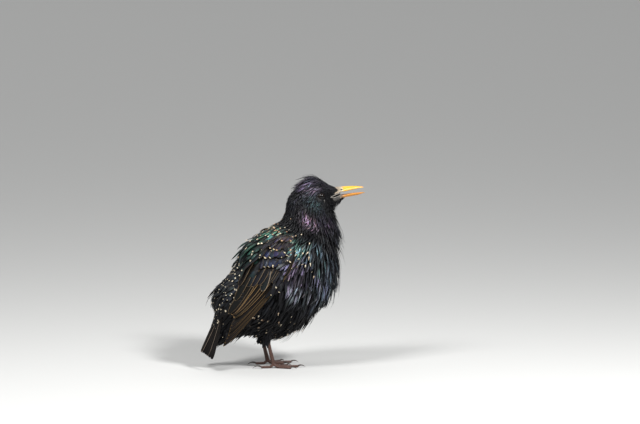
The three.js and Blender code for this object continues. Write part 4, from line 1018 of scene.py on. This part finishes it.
horn, horn_tree, horn_shader = new_material("bill horn")
horn_place = add_node(horn_tree, "ShaderNodeUVMap", uv_map="Horn").outputs[0]
horn_x, horn_painted_shade = add_node(horn_tree, "ShaderNodeSeparateXYZ", {0: horn_place}).outputs[:2]
horn_noise = noise(horn_tree, 20000.0, 3.0)
horn_streaks = noise(horn_tree, 14.0, 2.0, horn_place)
horn_at = math_node(horn_tree, "MULTIPLY_ADD", horn_noise, 0.12, horn_x)
horn_colour = mix_colour(horn_tree, smooth_step(horn_tree, horn_x, 0.15, 0.95),
                         (0.66, 0.36, 0.022, 1), (0.72, 0.33, 0.012, 1))
# Painted shade: the lower half takes darker, redder copies of the horn, base and root colours
horn_colour = mix_colour(horn_tree, horn_painted_shade, horn_colour, (0.56, 0.20, 0.008, 1))
horn_base = mix_colour(horn_tree, horn_painted_shade, (0.33, 0.30, 0.22, 1), (0.15, 0.12, 0.105, 1))
horn_root = mix_colour(horn_tree, horn_painted_shade, (0.20, 0.19, 0.16, 1), (0.10, 0.09, 0.08, 1))
for colour, start, end in [(horn_base, 0.20, 0.06), (horn_root, 0.06, -0.04)]:
    share = smooth_step(horn_tree, horn_at, start, end)
    horn_colour = mix_colour(horn_tree, share, horn_colour, colour)
horn_colour = mix_colour(horn_tree, product(horn_tree, horn_streaks, 0.25), horn_colour,
                         (0.55, 0.25, 0.03, 1))
set_inputs(horn_tree, horn_shader, {
    "Base Color": horn_colour, "Normal": bump(horn_tree, horn_streaks, 0.25, 0.0002),
    "Roughness": math_node(horn_tree, "MULTIPLY_ADD", horn_noise, 0.2, 0.26),
    "Subsurface Weight": 0.15, "Subsurface Radius": (0.002, 0.001, 0.0004)})


def point_uv(mesh, name, places):
    """A UV map from one place for each point of a mesh."""
    loops = np.array([loop.vertex_index for loop in mesh.loops])
    mesh.uv_layers.new(name=name).data.foreach_set("uv", places[loops].reshape(-1))


def bill_section(at, outer, edge, half, angle, upper):
    """One ring of a half of the bill: a ridge, rounded sides, and a shallow inner side."""
    up, sideways = np.sin(angle), np.cos(angle)
    ridge = np.maximum(up, 0) ** 0.9 + RIDGE * np.exp(-(sideways / RIDGE_WIDTH) ** 2)
    y = half * sideways * np.where(up >= 0, 1 - SIDE_ROUND * up * up, INNER_WIDTH)
    z = edge + (outer - edge) * np.where(up >= 0, ridge, -INNER_RISE * up)
    if upper:
        far = ((at - NOSTRIL_X) / NOSTRIL_SIZE[0]) ** 2 + ((z - NOSTRIL_Z) / NOSTRIL_SIZE[1]) ** 2
        dent = np.copysign(DENT * np.exp(-far), sideways)
        y = y - np.where((up > 0) & (np.abs(sideways) > 0.2), dent, 0)
    return np.stack([np.full(BILL_SIDES, at), y, z], axis=-1)


def bill_half(name, stations, lower):
    """One half of the bill, from its root inside the feathers to its tip."""
    t = np.linspace(0, 1, BILL_RINGS) ** 0.9
    x = stations[0, 0] + (stations[-1, 0] - stations[0, 0]) * t
    smooth = np.stack([np.interp(x, stations[:, 0], stations[:, column]) for column in (1, 2, 3)])
    kernel = np.array([1, 2, 3, 2, 1]) / 9
    padded = np.pad(smooth, ((0, 0), (2, 2)), mode="edge")
    inner = np.stack([np.convolve(row, kernel, mode="valid") for row in padded])
    smooth[:, 1:-1] = inner[:, 1:-1]
    # Behind the mouth the horn hugs the face and sinks into it along its edge
    angle = 2 * np.pi * np.arange(BILL_SIDES) / BILL_SIDES
    turns = np.arcsin(np.sin(angle))
    share = np.clip(np.abs(turns) / (math.pi / 2), 0, 1)
    around = (82 - 46 * share) if lower else (104 + 76 * share)
    rings = []
    for station in np.linspace(1.0, 0.06, FACE_RINGS):
        point, _, _, out = skin_frame(station, around * np.where(np.cos(angle) < 0, -1, 1))
        past = np.clip((station - horn_end(around)) / SINK_OVER, 0, 1)
        over = HORN_LIFT - HORN_SINK * past - np.where(turns < 0, INNER_SINK, 0)
        rings.append(metres(point + out * over[:, None]))
    for at, (outer, edge, half) in list(zip(x, smooth.T))[BURIED_RINGS:]:
        rings.append(metres(head_turn(bill_section(at, outer, edge, half, angle, not lower))))
    bm = bmesh.new()
    grow_rings(bm, rings)
    piece = new_piece(name, bm, horn)
    reach = np.array([vert.co.x for vert in piece.data.vertices]) * 1000 - ORIGIN[0]
    along = (reach - BILL_ROOT_X) / (stations[-1, 0] - BILL_ROOT_X)
    painted_shade = np.full(len(along), LOWER_PAINTED_SHADE if lower else 0.0)
    point_uv(piece.data, "Horn", np.stack([along, painted_shade], axis=-1))
    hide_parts(name)
    return piece


bill_half("upper_bill", UPPER_BILL, False).name = "bill_upper_half"
# The slits are dark lumps whose colour is painted shade of the nostrils' openings
nostril_shade_finish, nostril_shade_tree, nostril_shade_shader = new_material("painted nostril shade")
set_inputs(nostril_shade_tree, nostril_shade_shader, {"Base Color": (0.006, 0.005, 0.005, 1), "Roughness": 0.6})
slits_bm = bmesh.new()
for side in (-1, 1):
    made = bmesh.ops.create_uvsphere(slits_bm, u_segments=16, v_segments=10, radius=0.001)
    bmesh.ops.scale(slits_bm, verts=made["verts"], vec=SLIT_SIZE)
    place = head_turn(np.array([NOSTRIL_X + SLIT_AHEAD, side * SLIT_Y, NOSTRIL_Z]))
    bmesh.ops.translate(slits_bm, verts=made["verts"], vec=Vector(metres(place)))
new_piece("nostril_slits", slits_bm, nostril_shade_finish)
bill_half("lower_bill", LOWER_BILL, True).name = "bill_lower_half"

# Bare skin lines each corner of the open mouth, pale grey, from the bill's root to the gape.
lip_skin, lip_tree, lip_shader = new_material("gape skin")
lip_noise = noise(lip_tree, 20000.0, 3.0)
lip_colour = mix_colour(lip_tree, lip_noise, (0.05, 0.045, 0.045, 1), (0.26, 0.24, 0.21, 1))
set_inputs(lip_tree, lip_shader, {"Base Color": lip_colour, "Roughness": 0.5,
                                  "Normal": bump(lip_tree, lip_noise, 0.4, 0.0002)})


def tube(bm, path, radii, sides, turn_axis=(0, 0, 1)):
    """A closed round form along a path, with a pair of radii at each point."""
    path = np.asarray(path, float)
    way = unit(np.gradient(path, axis=0))
    across = unit(np.cross(way, np.array(turn_axis, float)) + 1e-9)
    up = np.cross(across, way)
    angles = np.linspace(0, 2 * math.pi, sides, endpoint=False)
    rings = []
    for point, a, b, (wide, deep) in zip(path, across, up, radii):
        ring = point + np.outer(np.cos(angles), a * wide) + np.outer(np.sin(angles), b * deep)
        rings.append(metres(ring))
    grow_rings(bm, rings)


lips_bm = bmesh.new()
for side in (-1, 1):
    for edge in (104, 82):
        share = np.linspace(0, 1, 14)
        station = 0.03 + 1.6 * share
        point, _, _, out = skin_frame(station, side * (edge + (88 - edge) * share ** 2))
        tube(lips_bm, point + out * 0.1, [(0.42, 0.5 - 0.15 * s) for s in share], 10)
new_piece("gape_skin", lips_bm, lip_skin)

# Short stiff pale bristles frame the root of the lower bill and point back and down, and a few
# more make the small pale mark below the eye.
bristle_finish = feather_material("gape bristles", (0.10, 0.095, 0.09, 1), (0.2, 0.19, 0.18, 1),
                                  (0.2, 0.19, 0.18, 1), 160.0, 0.6, 0.3)
BRISTLES, EYE_BRISTLES = 110, 7
BRISTLE_LENGTHS, BRISTLE_WIDTHS, BRISTLE_LEAN = (2.2, 3.8), (0.16, 0.3), (-0.45, 0.25)
BRISTLE_SINK, BRISTLE_LIFTS, BRISTLE_DEPTH = 0.3, (0.7, 1.5), 0.6


def bristles(word, side):
    """The bristles of one side, those below the eye last."""
    count = BRISTLES + EYE_BRISTLES
    station = random.uniform(0.1, 1.0, count)
    around = random.uniform(62 + 14 * station, 84)
    station[BRISTLES:] = random.uniform(2.72, 2.84, EYE_BRISTLES)
    around[BRISTLES:] = random.uniform(84, 88, EYE_BRISTLES)
    length = random.uniform(*BRISTLE_LENGTHS, count)[:, None]
    length = length * np.where(station > 2.5, 0.6, 1)[:, None]
    lean = random.normal(*BRISTLE_LEAN, count)[:, None]
    _, down, across, _ = skin_frame(station, side * around)
    stage, degree = (np.linalg.norm(way, axis=-1)[:, None] for way in (down, across))
    at = station[:, None] + length * np.cos(lean) * SHAPE_AT / stage
    turn = around[:, None] + length * np.sin(lean) * SHAPE_AT / degree
    point, _, sideways, out = skin_frame(at, side * turn)
    rise = -BRISTLE_SINK + random.uniform(*BRISTLE_LIFTS, (count, 1)) * SHAPE_AT
    centre = point + out * rise[..., None]
    way = unit(np.gradient(centre, axis=1))
    flat = square_to(way, sideways)
    half = HACKLE_SHAPE * random.uniform(*BRISTLE_WIDTHS, (count, 1))
    plain = np.zeros((count, 1, 4))
    joined_feathers(f"gape_bristles_{word}", centre, flat, unit(np.cross(way, flat)), half,
                    half * BRISTLE_DEPTH, HACKLE, {"Sheen": plain, "Mark": plain},
                    skin_uv(station, side * around), bristle_finish)


bristles("right", -1)
bristles("left", 1)

# ---- Chin ----
# Short black feathers fill the fork of the lower bill: they root in the skin of the chin, point
# ahead and lie flat under the horn.
CHIN_FEATHERS = 130
CHIN_LINE = np.array([[61.5, 142.2], [63.5, 144.6], [65.5, 147.2], [67.5, 149.2]])
CHIN_FROM_X, CHIN_TO_X = 61.5, 67.3


def chin():
    """The feathers of the chin as one piece, each from the skin to its place in the fork."""
    station = random.uniform(0.1, 1.0, CHIN_FEATHERS)
    around = random.uniform(-44, 44, CHIN_FEATHERS)
    root, _, _, out = skin_frame(station, around)
    x = random.uniform(CHIN_FROM_X, CHIN_TO_X, CHIN_FEATHERS)
    line = np.interp(x, CHIN_LINE[:, 0], CHIN_LINE[:, 1])
    lift = random.uniform(0, 1, CHIN_FEATHERS) ** 2 * 2.4
    z = np.minimum(line + lift, np.interp(x, LOWER_BILL[:, 0], LOWER_BILL[:, 1]) + 0.2)
    narrow = np.interp(x, [CHIN_FROM_X, CHIN_TO_X], [0.5, 0.2])
    tip = head_turn(np.stack([x, np.radians(around) * 6 * narrow, z], axis=-1))
    t = SHAPE_AT[None, :, None]
    centre = (root - out * 0.5)[:, None] * (1 - t) + tip[:, None] * t
    way = unit(np.gradient(centre, axis=1))
    flat = unit(np.cross(way, np.array([0, 0, 1.0])) + np.array([0, 0.2, 0]))
    flat = square_to(way, flat)
    half = HACKLE_SHAPE * random.uniform(0.35, 0.55, (CHIN_FEATHERS, 1))
    sheen, mark = gloss_of(station, around)[:, None], np.zeros((CHIN_FEATHERS, 1, 4))
    joined_feathers("chin_feathers", centre, flat, unit(np.cross(way, flat)), half, half * 0.5,
                    HACKLE, {"Sheen": sheen, "Mark": mark}, skin_uv(station, around), plumage)


chin()

# ---- Eyes ----
# Wet dark-brown eyes with a black pupil, set in a narrow ring of bare dark skin. The ball is a
# clear glossy globe that bulges a millimetre out of the head.
eye_finish, eye_tree, eye_shader = new_material("wet eye")
eye_place = add_node(eye_tree, "ShaderNodeUVMap", uv_map="Iris").outputs[0]
eye_far = add_node(eye_tree, "ShaderNodeSeparateXYZ", {0: eye_place}).outputs[0]
eye_spokes = noise(eye_tree, 50000.0, 2.0)
eye_iris = mix_colour(eye_tree, eye_spokes, (0.004, 0.002, 0.0015, 1), (0.012, 0.006, 0.003, 1))
eye_colour = mix_colour(eye_tree, smooth_step(eye_tree, eye_far, 0.48, 0.56),
                        (0.002, 0.002, 0.002, 1), eye_iris)
eye_colour = mix_colour(eye_tree, smooth_step(eye_tree, eye_far, 0.80, 0.95), eye_colour,
                        (0.006, 0.004, 0.003, 1))
eye_rough = math_node(eye_tree, "MULTIPLY_ADD", eye_spokes, 0.05, 0.08)
set_inputs(eye_tree, eye_shader, {"Base Color": eye_colour, "Roughness": eye_rough,
                                  "Coat Weight": 0.5, "Coat Roughness": 0.02,
                                  "Specular IOR Level": 0.05})

lid_skin, lid_tree, lid_shader = new_material("lid skin")
lid_noise = noise(lid_tree, 40000.0, 2.0)
lid_colour = mix_colour(lid_tree, lid_noise, (0.004, 0.004, 0.004, 1), (0.012, 0.010, 0.008, 1))
set_inputs(lid_tree, lid_shader, {"Base Color": lid_colour, "Roughness": 0.75,
                                  "Specular IOR Level": 0.1,
                                  "Normal": bump(lid_tree, lid_noise, 0.5, 0.0002)})
LID_WIDE, LID_TALL, LID_THICK, LID_AHEAD, LID_CORNER = 2.72, 2.36, 0.42, 1.35, 0.10
LID_POINTS, LID_RINGS = 48, 10
# How far the eyes look ahead, how much the head's turn adds for each, and how far up
GAZE_AHEAD, GAZE_TURN, GAZE_UP = 0.16, 0.14, 0.02


def eye(word, side, middle):
    """An eyeball that looks out and a little ahead, and its lids."""
    gaze = unit(np.array([GAZE_AHEAD + GAZE_TURN * side, side, GAZE_UP]))
    bm = bmesh.new()
    bmesh.ops.create_uvsphere(bm, u_segments=40, v_segments=28, radius=EYE_RADIUS / 1000)
    bmesh.ops.translate(bm, verts=bm.verts, vec=Vector(metres(middle)))
    ball = new_piece(f"eyeball_{word}", bm, eye_finish)
    points = np.array([vert.co for vert in ball.data.vertices])
    far = np.arccos(np.clip(unit(points - metres(middle)) @ gaze, -1, 1))
    point_uv(ball.data, "Iris", np.stack([far, 0 * far], axis=-1))
    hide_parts(f"eye_{word}")
    lids = bmesh.new()
    ahead = unit(np.cross(np.array([0, 0, 1.0]), gaze)) * -side
    up = np.cross(gaze, ahead) * -side
    angles = np.linspace(0, 2 * math.pi, LID_POINTS, endpoint=False)
    corner = 1 + LID_CORNER * np.cos(2 * angles) ** 5
    rings = []
    for turn in np.linspace(0, 2 * math.pi, LID_RINGS, endpoint=False):
        swell = LID_THICK * math.cos(turn)
        ring = middle + gaze * (LID_AHEAD + LID_THICK * math.sin(turn))
        ring = ring + np.outer(np.cos(angles) * corner, ahead * (LID_WIDE + swell))
        ring = ring + np.outer(np.sin(angles), up * (LID_TALL + swell))
        rings.append([lids.verts.new(point) for point in metres(ring)])
    for ring, after in zip(rings, rings[1:] + rings[:1]):
        edges = []
        for loop in (ring, after):
            for a, b in zip(loop, loop[1:] + loop[:1]):
                edges.append(lids.edges.get((a, b)) or lids.edges.new((a, b)))
        bmesh.ops.bridge_loops(lids, edges=edges)
    new_piece(f"eyelids_{word}", lids, lid_skin)


for word, side, middle in zip(("right", "left"), (-1, 1), EYES):
    eye(word, side, middle)

# ---- Legs ----
# Slender dark reddish-brown legs with broad scales down the front, padded toes that rest flat on
# the ground and dark hooked claws. Small dark feathers hang round the shank over the bare leg.
leg_finish, leg_tree, leg_shader = new_material("leg scales")
leg_place = {"Vector": object_place(leg_tree), "Scale": 18000.0}
leg_cells = add_node(leg_tree, "ShaderNodeTexVoronoi", leg_place).outputs["Distance"]
leg_noise = noise(leg_tree, 8000.0, 3.0)
leg_colour = mix_colour(leg_tree, leg_noise, (0.055, 0.022, 0.014, 1), (0.17, 0.065, 0.04, 1))
leg_colour = mix_colour(leg_tree, smooth_step(leg_tree, leg_cells, 0.35, 0.6), leg_colour,
                        (0.03, 0.014, 0.01, 1))
set_inputs(leg_tree, leg_shader, {"Base Color": leg_colour, "Roughness": 0.45,
                                  "Normal": bump(leg_tree, leg_cells, 0.5, 0.0002, invert=True)})

claw_finish, claw_tree, claw_shader = new_material("claw horn")
claw_noise = noise(claw_tree, 40000.0, 2.0)
claw_colour = mix_colour(claw_tree, claw_noise, (0.012, 0.009, 0.008, 1), (0.06, 0.04, 0.03, 1))
claw_rough = math_node(claw_tree, "MULTIPLY_ADD", claw_noise, 0.2, 0.22)
set_inputs(claw_tree, claw_shader, {"Base Color": claw_colour, "Roughness": claw_rough})

SHANK_TOP, HEEL, LEG_APART = np.array([-1.0, 42.0]), np.array([-5.0, 26.0]), 10.5
SHANK_WIDE, SHANK_NARROW, SHANK_FEATHERS = 8.0, 2.4, 260
FOOT_X, FOOT_Z, TOE_RADIUS, TOE_FLAT = 0.5, 3.2, 1.3, 0.25
TARSUS_WIDE, TARSUS_DEEP, SCALE_LENGTH = 1.25, 1.65, 2.3
TARSUS_AT, TARSUS_SWELL = [-0.12, 0.0, 0.15, 0.5, 0.9, 1.05], [1.2, 1.25, 1.02, 0.92, 1.05, 1.2]
# Bearing from straight ahead outwards, length without the claw, the claw's length, and its pads
TOES = {"inner": (-26, 15, 5.5, 2.5), "middle": (4, 22, 6.5, 3.5), "outer": (32, 16, 5.5, 3),
        "hind": (184, 11, 8, 1.6)}
CLAW_TIP_Z, CLAW_ARCH, CLAW_ROOT, TOE_REST = 0.4, 0.75, 0.8, TOE_RADIUS - TOE_FLAT
TOE_DROP, TOE_RING = 0.3, 1.25


def tarsus(bm, heel, foot):
    """The bare leg from heel to foot, with broad scales that step along it."""
    share = np.linspace(TARSUS_AT[0], TARSUS_AT[-1], 90)
    step = (share * np.linalg.norm(foot - heel) / SCALE_LENGTH) % 1
    swell = np.interp(share, TARSUS_AT, TARSUS_SWELL) * (1 + 0.07 * step)
    radii = np.stack([TARSUS_WIDE * swell, TARSUS_DEEP * swell], axis=1)
    tube(bm, heel + (foot - heel) * share[:, None], radii, 20, (1, 0, 0))


def grow_toe(bm, foot, line, length, pads):
    """A toe from the foot along the ground, with pads below and fine rings."""
    share = np.linspace(0, 1, 46)
    path = foot + np.outer(share * length, line)
    path[:, 2] = TOE_REST + (FOOT_Z - TOE_REST) * np.clip(TOE_DROP - share, 0, 1) / TOE_DROP
    radius = TOE_RADIUS * np.interp(share, [0, 0.9, 1], [1.05, 0.84, 0.72])
    radius = radius * (1 + 0.10 * np.sin(share * math.pi * 2 * pads) ** 2)
    rings = 1 + 0.05 * ((share * length / TOE_RING) % 1)
    deep = np.minimum(radius * rings, TOE_REST + 0.2)
    tube(bm, path, np.stack([radius * 0.95, deep], axis=1), 14)


def grow_claw(name, root, line, length):
    """A hooked claw, arched from the toe's end down to the ground."""
    share = np.linspace(0, 1, 18)
    path = root + np.outer(share * (length + CLAW_ROOT), line)
    path[:, 2] = TOE_REST + (CLAW_TIP_Z - TOE_REST) * share ** 2
    path[:, 2] += length * CLAW_ARCH * share * (1 - share)
    radius = np.interp(share, [0, 0.3, 0.65, 1], [0.8, 0.7, 0.42, 0.06])
    bm = bmesh.new()
    tube(bm, path, np.stack([radius * 0.72, radius], axis=1), 12)
    return new_piece(name, bm, claw_finish)


def shank_radius(share):
    return SHANK_WIDE + (SHANK_NARROW - SHANK_WIDE) * share ** 0.8


def feathered_shank(word, side, top, heel):
    """The thigh's end that shows, and the small feathers that hang round it."""
    shank_bm = bmesh.new()
    share = np.linspace(0, 1.08, 12)
    radius = shank_radius(share)
    path = top + (heel - top) * share[:, None]
    tube(shank_bm, path, np.stack([radius, radius], axis=1), 20, (1, 0, 0))
    shank = new_piece(f"shank_skin_{word}", shank_bm, skin_material)
    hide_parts(f"shank_{word}")
    count = SHANK_FEATHERS
    height, angle = random.uniform(0.1, 1.0, count), random.uniform(0, 2 * math.pi, count)
    length = random.uniform(7, 10, count) / np.linalg.norm(heel - top)
    far = np.minimum(height[:, None] + length[:, None] * SHAPE_AT, 1.5)
    reach = shank_radius(np.minimum(far, 1.1))
    reach = reach - 0.6 + 1.9 * SHAPE_AT * random.uniform(0.6, 1.3, (count, 1))
    turn = angle[:, None] + random.normal(0, 0.25, (count, 1)) * SHAPE_AT
    out = np.stack([np.cos(turn), np.sin(turn), 0 * turn], axis=-1)
    centre = top + (heel - top) * far[..., None] + out * reach[..., None]
    way = unit(np.gradient(centre, axis=1))
    flat = unit(np.cross(way, out))
    half = HACKLE_SHAPE * random.uniform(0.7, 1.3, (count, 1))
    sheen = np.tile(np.array([0.03, 0.03, 0.04, 0.3]), (count, 1, 1))
    mark = np.tile(np.array([0, 0, 0.8, 0]), (count, 1, 1))
    middle = np.array([0.5 + side * 0.15, 0.72])
    bake = middle + 0.02 * np.stack([np.cos(angle), np.sin(angle)], axis=-1)
    joined_feathers(f"shank_feathers_{word}", centre, flat, np.cross(way, flat), half,
                    half * 0.4 + 0.03, HACKLE, {"Sheen": sheen, "Mark": mark}, bake, plumage)


def leg(word, side):
    """One leg: tarsus and toes as one piece, four claws, and the shank over the heel."""
    foot = np.array([FOOT_X, side * (LEG_APART + 1), FOOT_Z])
    heel = np.array([HEEL[0], side * LEG_APART, HEEL[1]])
    top = np.array([SHANK_TOP[0], side * (LEG_APART + 1), SHANK_TOP[1]])
    bm = bmesh.new()
    tarsus(bm, heel, foot)
    for toe, (bearing, length, claw, pads) in TOES.items():
        angle = math.radians(bearing)
        line = np.array([math.cos(angle), side * math.sin(angle), 0])
        grow_toe(bm, foot, line, length, pads)
        root = foot + line * (length - CLAW_ROOT)
        piece = grow_claw(f"claw_horn_{toe}_{word}", root, line, claw)
        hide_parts(f"claw_{toe}_{word}")
    for vert in bm.verts:
        vert.co.z = max(vert.co.z, 0.0)
    piece = new_piece(f"bare_leg_{word}", bm, leg_finish)
    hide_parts(f"leg_{word}")
    feathered_shank(word, side, top, heel)


leg("right", -1)
leg("left", 1)

# ---- Floor, lights and camera ----
# A plain pale floor and soft lamps, with the camera where the photograph's stood: right of the
# bird and a little behind it, low, far off and with a long lens.
floor_bm = bmesh.new()
bmesh.ops.create_grid(floor_bm, x_segments=1, y_segments=1, size=6.0)
floor_mesh = bpy.data.meshes.new("floor")
floor_bm.to_mesh(floor_mesh)
floor_bm.free()
floor_material, floor_tree, floor_shader = new_material("pale floor")
set_inputs(floor_tree, floor_shader, {"Base Color": (0.5, 0.5, 0.49, 1), "Roughness": 0.9})
floor_mesh.materials.append(floor_material)
floor = bpy.data.objects.new("floor", floor_mesh)
collection.objects.link(floor)


def lamp(name, place, size, power, target=(0, 0, 0.09)):
    """A soft square lamp that shines at a target."""
    light = bpy.data.lights.new(name, "AREA")
    light.energy, light.size = power, size
    lit = bpy.data.objects.new(name, light)
    lit.location = place
    lit.rotation_euler = (Vector(target) - Vector(place)).to_track_quat("-Z", "Y").to_euler()
    collection.objects.link(lit)


lamp("key", (0.40, -0.75, 0.85), 0.22, 17)
lamp("back", (-0.55, -0.35, 0.9), 0.3, 9)
lamp("ceiling", (0, 3.2, 3.2), 6.0, 120, (0, 3.4, 0))
world = bpy.data.worlds.new("studio")
world.use_nodes = True
background = world.node_tree.nodes["Background"]
background.inputs["Color"].default_value = (0.85, 0.88, 0.92, 1)
background.inputs["Strength"].default_value = 0.16
bpy.context.scene.world = world
bpy.context.scene.view_settings.view_transform = "Standard"

CAMERA_AZIMUTH, CAMERA_HEIGHT, CAMERA_DISTANCE = math.radians(-14), math.radians(8), 6.0
LENS, SENSOR, FAR_END = 381.4, 36, 50
camera_data = bpy.data.cameras.new("camera")
camera_data.lens, camera_data.sensor_width, camera_data.clip_end = LENS, SENSOR, FAR_END
camera = bpy.data.objects.new("camera", camera_data)
aim = Vector(metres([45.6, 0, 136.3]))
back = Vector((math.sin(CAMERA_AZIMUTH) * math.cos(CAMERA_HEIGHT),
               -math.cos(CAMERA_AZIMUTH) * math.cos(CAMERA_HEIGHT), math.sin(CAMERA_HEIGHT)))
camera.location = aim + back * CAMERA_DISTANCE
camera.rotation_euler = (-back).to_track_quat("-Z", "Y").to_euler()
collection.objects.link(camera)
bpy.context.scene.camera = camera
